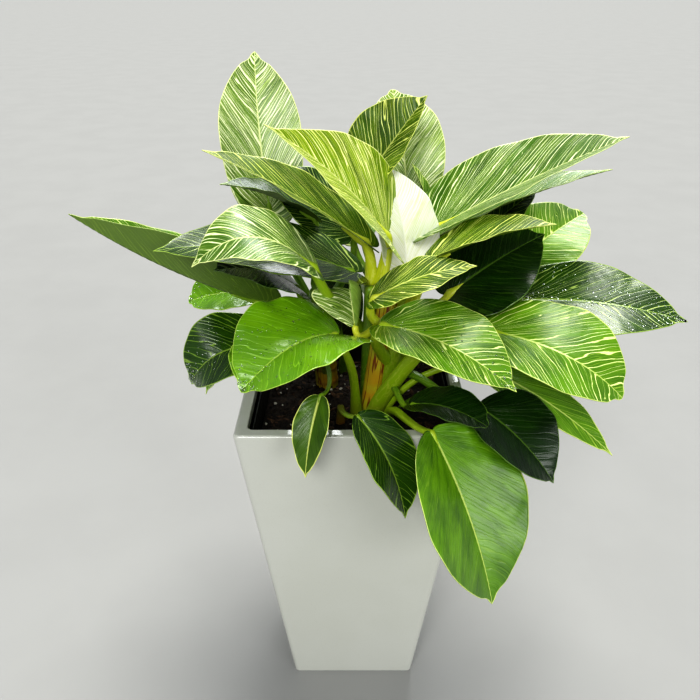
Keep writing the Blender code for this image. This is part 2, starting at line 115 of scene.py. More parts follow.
def newGroup(name, inputs, outputs):
    tree = bpy.data.node_groups.new(name, "ShaderNodeTree")
    for label, kind, value in inputs:
        socket = tree.interface.new_socket(label, in_out="INPUT", socket_type="NodeSocket" + kind)
        if value is not None:
            socket.default_value = value
    for label, kind in outputs:
        tree.interface.new_socket(label, in_out="OUTPUT", socket_type="NodeSocket" + kind)
    return tree, tree.nodes.new("NodeGroupInput").outputs, tree.nodes.new("NodeGroupOutput").inputs


def useGroup(tree, group, **values):
    node = tree.nodes.new("ShaderNodeGroup")
    node.node_tree = group
    for key, value in values.items():
        feed(tree, node.inputs[key], value)
    return node.outputs


def mottleOf(tree, place, scale, low=0.0, high=1.0):
    return useGroup(tree, mottleGroup, Place=place, Scale=scale, Low=low, High=high)["Value"]


def newMaterial(name):
    made = bpy.data.materials.new(name)
    made.use_nodes = True
    return made, made.node_tree, made.node_tree.nodes["Principled BSDF"]


def setShader(tree, shader, **values):
    for key, value in values.items():
        feed(tree, shader.inputs[key.replace("_", " ")], value)


def addBump(tree, shader, height, strength, distance):
    inputs = {"Height": height, "Strength": strength, "Distance": distance}
    tree.links.new(addNode(tree, "ShaderNodeBump", inputs).outputs[0], shader.inputs["Normal"])


# Shader groups that several materials share. Lengths in the attributes that feed them are in
# millimetres.

stripeLook = dict(wander=3.0, swell=1.8, softEdge=0.06, hairSpacing=0.37, hairWander=1.7,
                  hairWidth=0.42, streakFrom=0.66, streakSoft=0.10, streakShare=0.7)
fieldShift = dict(wander=0.0, lines=11.0, hairs=17.0, streaks=23.0, patches=37.0, specks=51.0)


def makeStripeGroup():
    look, shifts = stripeLook, fieldShift
    tree, given, out = newGroup(
        "birkinStripes",
        [("Vein", "Vector", None), ("Spacing", "Float", 5.0), ("Line", "Float", 0.3),
         ("Fine", "Float", 0.5)],
        [("Stripe", "Float"), ("Streak", "Float"), ("Ridge", "Float")])
    along, fromRib, seed = splitOf(tree, given["Vein"])

    def field(alongScale, ribScale, shift, detail=2.0, roughness=0.5, line=along):
        place = vectorOf(tree, times(tree, line, alongScale), times(tree, fromRib, ribScale),
                         plus(tree, seed, shift))
        return noiseOf(tree, place, 1.0, detail, roughness)

    def lines(spacing, drift, width, shift):
        line = plus(tree, calc(tree, "DIVIDE", along, spacing), drift)
        gap = times(tree, calc(tree, "PINGPONG", line, 0.5), 2.0)
        swelling = smooth(tree, field(1.4, 0.035, shift, line=line), 0.34, 0.66, 0.0, look["swell"])
        wide = times(tree, swelling, width)
        return gap, smooth(tree, gap, times(tree, wide, 0.4),
                           plus(tree, wide, look["softEdge"]), 1.0, 0.0)

    drift = times(tree, calc(tree, "SUBTRACT", field(0.07, 0.03, shifts["wander"]), 0.5),
                  look["wander"])
    gap, main = lines(given["Spacing"], drift, given["Line"], shifts["lines"])
    _, hair = lines(times(tree, given["Spacing"], look["hairSpacing"]),
                    times(tree, drift, look["hairWander"]),
                    times(tree, given["Fine"], look["hairWidth"]), shifts["hairs"])
    patch = smooth(tree, field(0.05, 0.04, shifts["patches"]), 0.32, 0.62, 0.15, 1.0)
    hair = times(tree, times(tree, hair, patch), calc(tree, "MINIMUM", given["Fine"], 1.0))
    streak = field(0.9, 0.05, shifts["streaks"], 3.0, 0.6)
    low = calc(tree, "SUBTRACT", look["streakFrom"], times(tree, given["Fine"], 0.14))
    fine = times(tree, smooth(tree, streak, low, plus(tree, low, look["streakSoft"])),
                 times(tree, patch, look["streakShare"]))
    speck = smooth(tree, field(1.3, 0.35, shifts["specks"], 2.0, 0.6), 0.30, 0.46, 0.45, 1.0)
    marked = calc(tree, "MAXIMUM", main, calc(tree, "MAXIMUM", hair, fine))
    tree.links.new(times(tree, marked, speck), out["Stripe"])
    tree.links.new(streak, out["Streak"])
    tree.links.new(gap, out["Ridge"])
    return tree


def makeEdgeGroup():
    tree, given, out = newGroup(
        "leafEdges",
        [("Blade", "Vector", None), ("Margin", "Float", 0.8), ("Rib", "Float", 1.6)],
        [("Margin", "Float"), ("Rib", "Float")])
    length, across, inward = splitOf(tree, given["Blade"])
    wander = times(tree, noiseOf(tree, given["Blade"], 0.35, 1.0), given["Margin"])
    margin = smooth(tree, inward, times(tree, wander, 0.9), times(tree, wander, 2.2), 1.0, 0.0)
    rib = times(tree, smooth(tree, length, 0.0, 1.0, 1.0, 0.35), given["Rib"])
    middle = smooth(tree, calc(tree, "ABSOLUTE", across), times(tree, rib, 0.3), rib, 1.0, 0.0)
    tree.links.new(margin, out["Margin"])
    tree.links.new(middle, out["Rib"])
    return tree


def makeMottleGroup():
    tree, given, out = newGroup(
        "mottle",
        [("Place", "Vector", None), ("Scale", "Float", 60.0), ("Low", "Float", 0.0),
         ("High", "Float", 1.0)],
        [("Value", "Float")])
    value = noiseOf(tree, given["Place"], given["Scale"], 4.0, 0.55)
    tree.links.new(smooth(tree, value, 0.32, 0.68, given["Low"], given["High"]), out["Value"])
    return tree


streakLook = dict(turn=6.2832, band=0.055, fibre=1.5, fineFibre=7.0)


def makeStreakGroup():
    look = streakLook
    tree, given, out = newGroup(
        "growthStreaks",
        [("Stalk", "Vector", None), ("Stretch", "Float", 0.08), ("Amount", "Float", 0.5)],
        [("Mask", "Float"), ("Fibre", "Float")])
    along, around, seed = splitOf(tree, given["Stalk"])
    turn = times(tree, around, look["turn"])
    place = vectorOf(tree, calc(tree, "SINE", turn), calc(tree, "COSINE", turn),
                     plus(tree, times(tree, along, given["Stretch"]), seed))
    fibre = noiseOf(tree, place, look["fibre"], 2.0, 0.4)
    away = calc(tree, "ABSOLUTE", calc(tree, "SUBTRACT", fibre, 0.5))
    wide = times(tree, given["Amount"], look["band"])
    tree.links.new(smooth(tree, away, times(tree, wide, 0.4), wide, 1.0, 0.0), out["Mask"])
    tree.links.new(noiseOf(tree, place, look["fineFibre"]), out["Fibre"])
    return tree


stripeGroup = makeStripeGroup()
edgeGroup = makeEdgeGroup()
mottleGroup = makeMottleGroup()
streakGroup = makeStreakGroup()
print("shader groups made")


# Materials

leafFinishes = {
    # The shade finish is painted shade: near-black greens for leaves that lie in the shadow of
    # other leaves.
    "shade": dict(dark=(0.003, 0.016, 0.001), light=(0.010, 0.042, 0.001), line=(0.05, 0.11, 0.01),
                  cream=(0.10, 0.18, 0.03), margin=(0.12, 0.22, 0.03), under=(0.030, 0.060, 0.010),
                  spacing=8.0, width=0.14, fine=0.10, gloss=0.20, coat=0.15),
    "deep": dict(dark=(0.010, 0.040, 0.001), light=(0.034, 0.098, 0.003), line=(0.22, 0.36, 0.04),
                 cream=(0.56, 0.66, 0.22), margin=(0.36, 0.52, 0.08), under=(0.060, 0.105, 0.020),
                 spacing=7.0, width=0.12, fine=0.25, gloss=0.20, coat=0.55),
    "leafy": dict(dark=(0.048, 0.140, 0.002), light=(0.150, 0.330, 0.006), line=(0.44, 0.62, 0.08),
                  cream=(0.84, 0.90, 0.42), margin=(0.66, 0.78, 0.22), under=(0.130, 0.220, 0.030),
                  spacing=6.4, width=0.13, fine=0.38, gloss=0.24, coat=0.25),
    "plain": dict(dark=(0.120, 0.290, 0.004), light=(0.190, 0.390, 0.008), line=(0.20, 0.42, 0.01),
                  cream=(0.26, 0.50, 0.03), margin=(0.50, 0.70, 0.12), under=(0.180, 0.300, 0.030),
                  spacing=8.0, width=0.10, fine=0.10, gloss=0.17, coat=0.60),
    "lime": dict(dark=(0.060, 0.130, 0.001), light=(0.200, 0.350, 0.002), line=(0.62, 0.72, 0.06),
                 cream=(0.93, 0.95, 0.46), margin=(0.88, 0.91, 0.40), under=(0.280, 0.400, 0.030),
                 spacing=6.4, width=0.21, fine=0.50, gloss=0.26, coat=0.10),
    "olive": dict(dark=(0.022, 0.066, 0.001), light=(0.090, 0.190, 0.002), line=(0.46, 0.57, 0.03),
                  cream=(0.86, 0.90, 0.32), margin=(0.76, 0.82, 0.24), under=(0.150, 0.230, 0.015),
                  spacing=5.8, width=0.17, fine=0.40, gloss=0.26, coat=0.10),
    "pale": dict(dark=(0.022, 0.080, 0.002), light=(0.080, 0.200, 0.005), line=(0.46, 0.62, 0.14),
                 cream=(0.94, 0.97, 0.66), margin=(0.86, 0.92, 0.42), under=(0.240, 0.360, 0.070),
                 spacing=5.8, width=0.20, fine=0.55, gloss=0.28, coat=0.10),
    "white": dict(dark=(0.70, 0.74, 0.40), light=(0.90, 0.91, 0.72), line=(0.94, 0.95, 0.82),
                  cream=(0.97, 0.97, 0.90), margin=(0.97, 0.97, 0.86), under=(0.92, 0.93, 0.78),
                  spacing=4.0, width=0.5, fine=1.0, gloss=0.35, coat=0.10),
}


leafLook = dict(margin=0.8, rib=1.7, cloud=0.045, nearRib=16.0, ribShare=0.75, underMatt=0.18,
                rougher=0.14, streakRelief=0.45, bump=0.35, depth=0.00035, coatRoughness=0.18)


def makeLeafMaterial(name, look):
    made, tree, shader = newMaterial("leaf_" + name)
    vein, blade = attributeOf(tree, "vein"), attributeOf(tree, "blade")
    length, across, _ = splitOf(tree, blade)
    stripes, pale, under = splitOf(tree, attributeOf(tree, "tone"))
    marks = useGroup(tree, stripeGroup, Vein=vein, Spacing=look["spacing"], Line=look["width"],
                     Fine=look["fine"])
    edges = useGroup(tree, edgeGroup, Blade=blade, Margin=leafLook["margin"], Rib=leafLook["rib"])
    streak, fromRib = marks["Streak"], calc(tree, "ABSOLUTE", across)
    green = layered(tree, look["dark"],
                    (mottleOf(tree, vein, leafLook["cloud"]), look["light"]),
                    (smooth(tree, streak, 0.35, 0.7, 0.0, 0.45), look["light"]),
                    (smooth(tree, fromRib, 1.0, leafLook["nearRib"], 0.35, 0.0), look["light"]),
                    (smooth(tree, length, 0.35, 1.0, 0.0, 0.35), look["dark"]))
    paler = times(tree, pale, smooth(tree, streak, 0.30, 0.62))
    stripe = plus(tree, times(tree, marks["Stripe"], stripes), paler, clamp=True)
    beneath = mixColour(tree, times(tree, stripe, 0.35), look["under"], look["line"])
    colour = layered(tree, green,
                     (smooth(tree, stripe, 0.0, 0.55), look["line"]),
                     (smooth(tree, stripe, 0.45, 1.0), look["cream"]),
                     (times(tree, edges["Rib"], leafLook["ribShare"]), look["margin"]),
                     (edges["Margin"], look["margin"]), (under, beneath))
    rough = smooth(tree, streak, 0.3, 0.7, look["gloss"], look["gloss"] + leafLook["rougher"])
    relief = plus(tree, smooth(tree, marks["Ridge"], 0.0, 0.35),
                  times(tree, streak, leafLook["streakRelief"]))
    addBump(tree, shader, relief, leafLook["bump"], leafLook["depth"])
    setShader(tree, shader, Base_Color=colour, Coat_Weight=look["coat"],
              Roughness=plus(tree, rough, times(tree, under, leafLook["underMatt"])),
              Coat_Roughness=leafLook["coatRoughness"])
    return made


petioleFinishes = {
    "green": dict(foot=(0.22, 0.28, 0.02), middle=(0.13, 0.26, 0.01), top=(0.24, 0.40, 0.02),
                  streak=(0.42, 0.52, 0.08), amount=0.5),
    "bright": dict(foot=(0.36, 0.44, 0.03), middle=(0.30, 0.46, 0.01), top=(0.40, 0.55, 0.03),
                   streak=(0.55, 0.62, 0.10), amount=0.6),
    "yellow": dict(foot=(0.40, 0.42, 0.02), middle=(0.52, 0.58, 0.02), top=(0.66, 0.72, 0.05),
                   streak=(0.80, 0.82, 0.25), amount=0.6),
    "orange": dict(foot=(0.36, 0.12, 0.02), middle=(0.30, 0.28, 0.02), top=(0.24, 0.42, 0.03),
                   streak=(0.10, 0.02, 0.01), amount=0.5),
}


def makeStalkMaterial(name, look):
    made, tree, shader = newMaterial("petiole_" + name)
    share = splitOf(tree, attributeOf(tree, "tone"))[0]
    marks = useGroup(tree, streakGroup, Stalk=attributeOf(tree, "stalk"), Stretch=0.05,
                     Amount=look["amount"])
    colour = layered(tree, look["foot"],
                     (smooth(tree, share, 0.02, 0.30), look["middle"]),
                     (smooth(tree, share, 0.45, 0.95), look["top"]),
                     (times(tree, marks["Mask"], 0.45), look["streak"]),
                     (mottleOf(tree, objectPlace(tree), 120.0, 0.0, 0.35), look["middle"]))
    addBump(tree, shader, marks["Fibre"], 0.3, 0.0003)
    setShader(tree, shader, Base_Color=colour, Coat_Weight=0.1, Coat_Roughness=0.2,
              Roughness=smooth(tree, marks["Fibre"], 0.3, 0.7, 0.30, 0.46))
    return made


stemFinish = dict(skin=(0.40, 0.42, 0.025), warm=(0.48, 0.28, 0.015), scar=(0.10, 0.04, 0.015),
                  red=(0.12, 0.006, 0.006))
sheathFinish = dict(skin=(0.60, 0.58, 0.040), warm=(0.64, 0.40, 0.025), scar=(0.30, 0.12, 0.02),
                    red=(0.20, 0.006, 0.010))


def makeStemMaterial(name, look, redness):
    made, tree, shader = newMaterial(name)
    stalk = attributeOf(tree, "stalk")
    height, around, seed = splitOf(tree, stalk)
    ring = splitOf(tree, attributeOf(tree, "tone"))[1]
    marks = useGroup(tree, streakGroup, Stalk=stalk, Stretch=0.010, Amount=redness)
    place = vectorOf(tree, times(tree, height, 0.03), around, seed)
    colour = layered(tree, look["skin"],
                     (mottleOf(tree, place, 2.2), look["warm"]),
                     (times(tree, marks["Mask"], 0.85), look["red"]),
                     (times(tree, ring, 0.8), look["scar"]))
    addBump(tree, shader, marks["Fibre"], 0.4, 0.0006)
    setShader(tree, shader, Base_Color=colour,
              Roughness=smooth(tree, marks["Fibre"], 0.3, 0.7, 0.34, 0.55))
    return made


plasticLook = dict(dull=(0.545, 0.555, 0.505), bright=(0.565, 0.575, 0.530),
                   dust=(0.45, 0.42, 0.36), black=(0.010, 0.011, 0.010),
                   scuffed=(0.030, 0.030, 0.028))


def makeGlossPlastic():
    made, tree, shader = newMaterial("glossWhitePlastic")
    place = objectPlace(tree)
    dust = smooth(tree, mottleOf(tree, place, 900.0), 0.93, 1.0, 0.0, 0.25)
    colour = layered(tree, plasticLook["dull"],
                     (mottleOf(tree, place, 9.0), plasticLook["bright"]),
                     (dust, plasticLook["dust"]))
    addBump(tree, shader, noiseOf(tree, place, 22.0, 1.0), 0.05, 0.002)
    setShader(tree, shader, Base_Color=colour, Coat_Weight=0.35, Coat_Roughness=0.04,
              Roughness=mottleOf(tree, place, 45.0, 0.07, 0.13))
    return made


def makeLinerPlastic():
    made, tree, shader = newMaterial("blackPlastic")
    scuff = mottleOf(tree, objectPlace(tree), 160.0)
    addBump(tree, shader, scuff, 0.2, 0.0004)
    setShader(tree, shader, Roughness=smooth(tree, scuff, 0.0, 1.0, 0.35, 0.6),
              Base_Color=mixColour(tree, scuff, plasticLook["black"], plasticLook["scuffed"]))
    return made


earthLooks = {
    "pottingSoil": dict(dark=(0.008, 0.005, 0.004), light=(0.050, 0.032, 0.020), scale=240.0,
                        rough=0.98, depth=0.0010),
    "barkChips": dict(dark=(0.035, 0.018, 0.009), light=(0.130, 0.070, 0.034), scale=170.0,
                      rough=0.9, depth=0.0005),
    "perlite": dict(dark=(0.42, 0.40, 0.35), light=(0.78, 0.76, 0.70), scale=380.0, rough=0.9,
                    depth=0.0003),
}


def makeEarth(name, look):
    made, tree, shader = newMaterial(name)
    place = objectPlace(tree)
    patch = mottleOf(tree, place, look["scale"])
    grain = mottleOf(tree, place, look["scale"] * 6)
    colour = layered(tree, look["dark"], (patch, look["light"]),
                     (times(tree, grain, 0.5), look["dark"]))
    addBump(tree, shader, grain, 0.6, look["depth"])
    setShader(tree, shader, Base_Color=colour,
              Roughness=smooth(tree, grain, 0.0, 1.0, look["rough"] - 0.15, look["rough"]))
    return made


def makeWater():
    made, tree, shader = newMaterial("water")
    setShader(tree, shader, Base_Color=(0.96, 1.0, 0.96, 1.0), IOR=1.33, Transmission_Weight=1.0,
              Roughness=mottleOf(tree, objectPlace(tree), 300.0, 0.0, 0.05))
    return made


leafMaterials = {name: makeLeafMaterial(name, look) for name, look in leafFinishes.items()}
stalkMaterials = {name: makeStalkMaterial(name, look) for name, look in petioleFinishes.items()}
stemMaterial = makeStemMaterial("stemSkin", stemFinish, 0.25)
sheathMaterial = makeStemMaterial("sheathSkin", sheathFinish, 0.75)
glossPlastic = makeGlossPlastic()
linerPlastic = makeLinerPlastic()
earths = {name: makeEarth(name, look) for name, look in earthLooks.items()}
waterMaterial = makeWater()
print("materials made")


# Pieces

def addPiece(name, mesh, materials, slot, *nodes):
    piece = bpy.data.objects.new(name, mesh)
    bpy.context.scene.collection.objects.link(piece)
    for material in materials:
        mesh.materials.append(material)
    mesh.shade_smooth()
    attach(piece, "root")
    if nodes:
        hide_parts(*nodes)
    return piece


def newPiece(name, vertices, faces, materials, slot, *nodes):
    mesh = bpy.data.meshes.new(name)
    mesh.from_pydata(vertices, [], faces)
    return addPiece(name, mesh, materials, slot, *nodes)


def storeAttribute(mesh, name, values):
    flat = [number for value in values for number in value]
    mesh.attributes.new(name, "FLOAT_VECTOR", "POINT").data.foreach_set("vector", flat)


def ringFaces(rings, count, start=0, flip=False):
    faces = []
    for r in range(rings - 1):
        for k in range(count):
            a, b = start + r * count + k, start + r * count + (k + 1) % count
            faces.append((b, a, a + count, b + count) if flip else (a, b, b + count, a + count))
    return faces


def gridBorder(rows, columns):
    return ([(0, j) for j in range(columns)] + [(i, columns) for i in range(rows)]
            + [(rows, j) for j in range(columns, 0, -1)] + [(i, 0) for i in range(rows, 0, -1)])


def quarterArc(steps):
    angles = [k / steps * math.pi / 2 for k in range(steps + 1)]
    return [(math.sin(angle), math.cos(angle)) for angle in angles]


# The planter: rings of a rounded square, lofted from the base up over the rim and down inside.
# support is the distance from a rounded edge to the ring that keeps the flat beside it flat.

planterShape = dict(top=0.200, base=0.126, height=0.335, wall=0.004, floor=0.005, corner=0.0050,
                    rim=0.011, lip=0.009, edge=0.0028, innerEdge=0.0012, foot=0.0015,
                    mouthCorner=0.006, rimCorner=0.0062, insideCorner=0.003, lipStep=0.0008,
                    floorStep=0.001)
linerShape = dict(belowRim=0.012, corner=0.006, wall=0.002, lipEdge=0.0007, stand=0.0003,
                  rimGap=0.001, wallGap=0.003, plainBelow=0.012, lipDepth=0.010)
cornerSteps, arcSteps, lipSteps, wallSteps, support, leastCorner = 8, 6, 4, 8, 0.0004, 0.0004


def squareRing(half, corner, z):
    points = []
    corner = max(corner, leastCorner)
    for quarter in range(4):
        turn = quarter * math.pi / 2
        local = [Vector((half, half - corner - support))]
        for sine, cosine in quarterArc(cornerSteps):
            local.append(Vector((half - corner + corner * cosine, half - corner + corner * sine)))
        local.append(Vector((half - corner - support, half)))
        for p in local:
            points.append((p.x * math.cos(turn) - p.y * math.sin(turn),
                           p.x * math.sin(turn) + p.y * math.cos(turn), z))
    return points


def loftRings(rings):
    vertices = [p for ring in rings for p in ring]
    count = len(rings[0])
    faces = ringFaces(len(rings), count)
    faces.append(tuple(reversed(range(count))))
    faces.append(tuple((len(rings) - 1) * count + k for k in range(count)))
    return vertices, faces


def planterHalf(z):
    shape = planterShape
    return (shape["base"] + (shape["top"] - shape["base"]) * z / shape["height"]) / 2


def makePlanter():
    shape = planterShape
    high, wall, floor, corner = shape["height"], shape["wall"], shape["floor"], shape["corner"]
    edge, inner, foot = shape["edge"], shape["innerEdge"], shape["foot"]
    mouth, low = shape["top"] / 2 - shape["rim"], high - shape["lip"]
    mouthCorner, lipStep, floorStep = shape["mouthCorner"], shape["lipStep"], shape["floorStep"]
    rings = []

    def ring(inset, z, rounding):
        rings.append(squareRing(planterHalf(z) - inset, rounding, z))

    for sine, cosine in quarterArc(arcSteps):
        inset = foot * (1 - sine)
        ring(inset, foot * (1 - cosine), corner - inset)
    ring(0.0, foot + support, corner)
    for k in range(1, wallSteps):
        ring(0.0, high * k / wallSteps, corner)
    ring(0.0, high - edge - support, corner)
    for sine, cosine in quarterArc(arcSteps):
        inset = edge * (1 - cosine)
        ring(inset, high - edge + edge * sine, corner - inset)
    ring(edge + support, high, corner - edge)
    rings.append(squareRing(mouth + inner + support, shape["rimCorner"], high))
    for sine, cosine in quarterArc(arcSteps):
        rings.append(squareRing(mouth + inner * (1 - sine), mouthCorner,
                                high - inner * (1 - cosine)))
    for z in (high - inner - support, low + support, low):
        rings.append(squareRing(mouth, mouthCorner, z))
    for inset, z in ((wall + lipStep, low), (wall, low - lipStep), (wall, floor + floorStep),
                     (wall + floorStep, floor)):
        ring(inset, z, shape["insideCorner"])
    piece = newPiece("planterShell", *loftRings(rings), [glossPlastic], "planter", "planter")
    piece.data.set_sharp_from_angle(angle=math.radians(50))
    return piece


def linerHalf(z):
    floor = planterShape["floor"]
    top = planterShape["height"] - linerShape["belowRim"]
    atTop = planterShape["top"] / 2 - planterShape["rim"] - linerShape["rimGap"]
    atFloor = planterHalf(floor) - planterShape["wall"] - linerShape["wallGap"]
    return atFloor + (atTop - atFloor) * (z - floor) / (top - floor)


def makeLiner():
    shape = linerShape
    low = planterShape["floor"] + shape["stand"]
    high = planterShape["height"] - shape["belowRim"]
    wall, corner, edge = shape["wall"], shape["corner"], shape["lipEdge"]
    rings = []

    def ring(level, inset, z):
        rings.append(squareRing(linerHalf(level) - inset, corner - inset, z))

    for k in range(6):
        z = low + (high - shape["plainBelow"] - low) * k / 5
        ring(z, 0.0, z)
    ring(high - edge, 0.0, high - edge)
    for sine, cosine in quarterArc(lipSteps)[1:]:
        ring(high, edge * (1 - cosine), high - edge * (1 - sine))
    for sine, cosine in quarterArc(lipSteps):
        ring(high, wall - edge * (1 - sine), high - edge * (1 - cosine))
    for z in (high - shape["lipDepth"], low + wall):
        ring(z, wall, z)
    return newPiece("linerPot", *loftRings(rings), [linerPlastic], "liner", "liner")


makePlanter()
makeLiner()
print("planter and liner made")


# The soil: a rough bed, with crumbs, bark chips and perlite lying in it

soilShape = dict(grid=150, bump=0.0022, inset=0.0030, lumps=0.0012, clods=0.0016, cornerPull=0.030,
                 edgeDrop=0.0022, clear=0.006, overFloor=0.003)
stems = {
    "stem_main": dict(foot=(0.030, 0.002), lean=(0.006, 0.004), radius=0.0130, height=0.105,
                      scars=0.15),
    "stem_left": dict(foot=(-0.026, 0.034), lean=(-0.006, 0.004), radius=0.0110, height=0.085,
                      scars=0.9),
    "stem_back": dict(foot=(0.036, 0.060), lean=(0.004, 0.010), radius=0.0110, height=0.095,
                      scars=0.4),
}


def soilHeight(x, y):
    mounds = math.sin(31 * x + 0.7) * math.cos(37 * y - 0.4)
    crumbs = math.sin(173 * x + 61 * y) * math.cos(149 * y - 83 * x)
    return soilTop + soilShape["bump"] * (mounds + 0.6 * crumbs)


def roughSoil(x, y):
    place = Vector((x * 210, y * 210, 3.0))
    lumps = noise.fractal(place, 0.9, 2.1, 4) * soilShape["lumps"]
    clods = noise.voronoi(Vector((x * 240, y * 240, 1.0)))[0][0]
    return soilHeight(x, y) + lumps - soilShape["clods"] * clods


def makeSoil():
    count = soilShape["grid"]
    half = linerHalf(soilTop) - soilShape["inset"]
    vertices, faces = [], []
    for i in range(count + 1):
        for j in range(count + 1):
            a, b = i / count * 2 - 1, j / count * 2 - 1
            pull = 1 - soilShape["cornerPull"] * min(abs(a), abs(b)) ** 6
            x, y = a * half * pull, b * half * pull
            drop = soilShape["edgeDrop"] * max(abs(a), abs(b)) ** 24
            vertices.append((x, y, roughSoil(x, y) - drop))
    row = count + 1
    for i in range(count):
        for j in range(count):
            a = i * row + j
            faces.append((a, a + row, a + row + 1, a + 1))
    border = [i * row + j for j, i in gridBorder(count, count)]
    low = planterShape["floor"] + soilShape["overFloor"]
    shrink = (linerHalf(low) - soilShape["inset"]) / half
    start = len(vertices)
    vertices += [(vertices[k][0] * shrink, vertices[k][1] * shrink, low) for k in border]
    for k, here in enumerate(border):
        after = (k + 1) % len(border)
        faces.append((border[after], here, start + k, start + after))
    faces.append(tuple(range(start, start + len(border))))
    return newPiece("soilBed", vertices, faces, [earths["pottingSoil"]], "soil", "soil")


def clearOfStems(x, y):
    return all((x - s["foot"][0]) ** 2 + (y - s["foot"][1]) ** 2 > (s["radius"] + 0.001) ** 2
               for s in stems.values())


# What lies in the soil. The sizes are radii, and the stretches are along x, y and z.
bits = {
    "soilCrumbs": dict(count=520, sizes=(0.0010, 0.0030), look="pottingSoil", seed=11,
                       stretch=((0.8, 1.2), (0.7, 1.1), (0.5, 0.9))),
    "barkChips": dict(count=210, sizes=(0.0018, 0.0042), look="barkChips", seed=12,
                      stretch=((1.2, 2.6), (0.35, 0.8), (0.2, 0.4))),
    "perliteGrains": dict(count=70, sizes=(0.0009, 0.0019), look="perlite", seed=13,
                          stretch=((0.8, 1.2), (0.8, 1.1), (0.7, 1.0))),
}


def turned(first, second, angle):
    sine, cosine = math.sin(angle), math.cos(angle)
    return first * cosine - second * sine, first * sine + second * cosine


def makeBits(name, bit):
    draw = random.Random(bit["seed"])
    half = linerHalf(soilTop) - soilShape["clear"]
    bm = bmesh.new()
    made = 0
    while made < bit["count"]:
        x, y = draw.uniform(-half, half), draw.uniform(-half, half)
        if not clearOfStems(x, y):
            continue
        size = draw.uniform(*bit["sizes"]) * draw.uniform(0.7, 1.0)
        stretch = Vector([draw.uniform(*s) for s in bit["stretch"]])
        vertices = bmesh.ops.create_icosphere(bm, subdivisions=2, radius=1.0)["verts"]
        turn = draw.uniform(0, math.tau)
        tilt = draw.uniform(-0.5, 0.5)
        offset = Vector((draw.uniform(0, 90), draw.uniform(0, 90), 0))
        lift = roughSoil(x, y) + size * stretch.z * draw.uniform(-0.1, 0.5)
        for vertex in vertices:
            p = vertex.co * (1 + 0.55 * noise.noise(vertex.co * 1.6 + offset))
            p = Vector((p.x * stretch.x, p.y * stretch.y, p.z * stretch.z)) * size
            p.x, p.z = turned(p.x, p.z, tilt)
            right, away = turned(p.x, p.y, turn)
            vertex.co = Vector((x + right, y + away, lift + p.z))
        made += 1
    mesh = bpy.data.meshes.new(name)
    bm.to_mesh(mesh)
    bm.free()
    piece = addPiece(name, mesh, [earths[bit["look"]]], "soil")
    mesh.set_sharp_from_angle(angle=math.radians(40))
    return piece


makeSoil()
for bitName, bitShape in bits.items():
    makeBits(bitName, bitShape)
print("soil made")


# Tubes that stems, sheaths and petioles share

def frameAlong(points, index, leading):
    before, after = points[max(index - 1, 0)], points[min(index + 1, len(points) - 1)]
    ahead = (after - before).normalized()
    side = ahead.cross(leading)
    if side.length < 0.05:
        side = ahead.cross(behind)
    side.normalize()
    return ahead, side, side.cross(ahead).normalized()


def sweepTube(points, sections, around, leading):
    vertices, marks = [], []
    travelled = 0.0
    for i, point in enumerate(points):
        if i:
            travelled += (point - points[i - 1]).length
        ahead, side, top = frameAlong(points, i, leading)
        for k in range(around):
            wide, deep = sections[i](math.tau * k / around)
            vertices.append(point + side * wide + top * deep)
            marks.append((travelled * 1000, k / around))
    faces = ringFaces(len(points), around, flip=True)
    last = (len(points) - 1) * around
    faces.append(tuple(range(around)))
    faces.append(tuple(reversed(range(last, last + around))))
    return vertices, faces, marks


def grooveAt(angle, width):
    return math.exp(-(((angle - math.pi / 2 + math.pi) % math.tau - math.pi) / width) ** 2)


# Stems: short, ringed by the scars of old leaves

stemMesh = dict(steps=72, around=40, sunk=0.020, narrowing=0.35, crown=0.010, crownSize=0.72)
scarShape = dict(first=0.004, apart=(0.008, 0.014), width=0.0011, height=0.0007, above=-0.002)


def stemCentre(stem, height):
    share = max(height, 0.0) / stem["height"]
    return Vector((stem["foot"][0] + stem["lean"][0] * share,
                   stem["foot"][1] + stem["lean"][1] * share, soilTop + height))


def stemRadius(stem, height):
    share = max(height, 0.0) / stem["height"]
    return stem["radius"] * (1.0 - stemMesh["narrowing"] * share ** 2)


def makeStem(node, stem, seed):
    steps, around, crown = stemMesh["steps"], stemMesh["around"], stemMesh["crownSize"]
    low, high = -stemMesh["sunk"], stem["height"]
    heights = [low + (high - low) * k / steps for k in range(steps + 1)]
    points = [stemCentre(stem, h) for h in heights]
    draw = random.Random(seed)
    scars = [scarShape["first"]]
    while scars[-1] < high:
        scars.append(scars[-1] + draw.uniform(*scarShape["apart"]))
    sections, rings = [], []
    for h in heights:
        near = min(abs(h - s) for s in scars)
        ring = math.exp(-(near / scarShape["width"]) ** 2)
        rings.append(ring * stem["scars"] if h > scarShape["above"] else 0.0)
        closing = max(0.0, min(1.0, (high - h) / stemMesh["crown"]))
        radius = stemRadius(stem, h) * (crown + (1 - crown) * math.sqrt(closing))

        def section(angle, radius=radius, h=h, ring=ring):
            wave = 0.025 * math.sin(angle * 3 + h * 60)
            wave += 0.015 * math.sin(angle * 7 - h * 90 + seed)
            reach = radius * (1 + wave) + scarShape["height"] * ring
            return reach * math.cos(angle), reach * math.sin(angle)
        sections.append(section)
    vertices, faces, marks = sweepTube(points, sections, around, behind)
    piece = newPiece(camelName(node) + "Axis", vertices, faces, [stemMaterial], "stem", node)
    storeAttribute(piece.data, "stalk", [(*mark, seed * 3.1) for mark in marks])
    storeAttribute(piece.data, "tone", [(0.0, ring, 0.0) for ring in rings for _ in range(around)])
    return piece


def camelName(node):
    first, *rest = node.split("_")
    return first + "".join(word.capitalize() for word in rest)


for index, (stemNode, stemShape) in enumerate(stems.items()):
    makeStem(stemNode, stemShape, index + 1)
print("stems made")
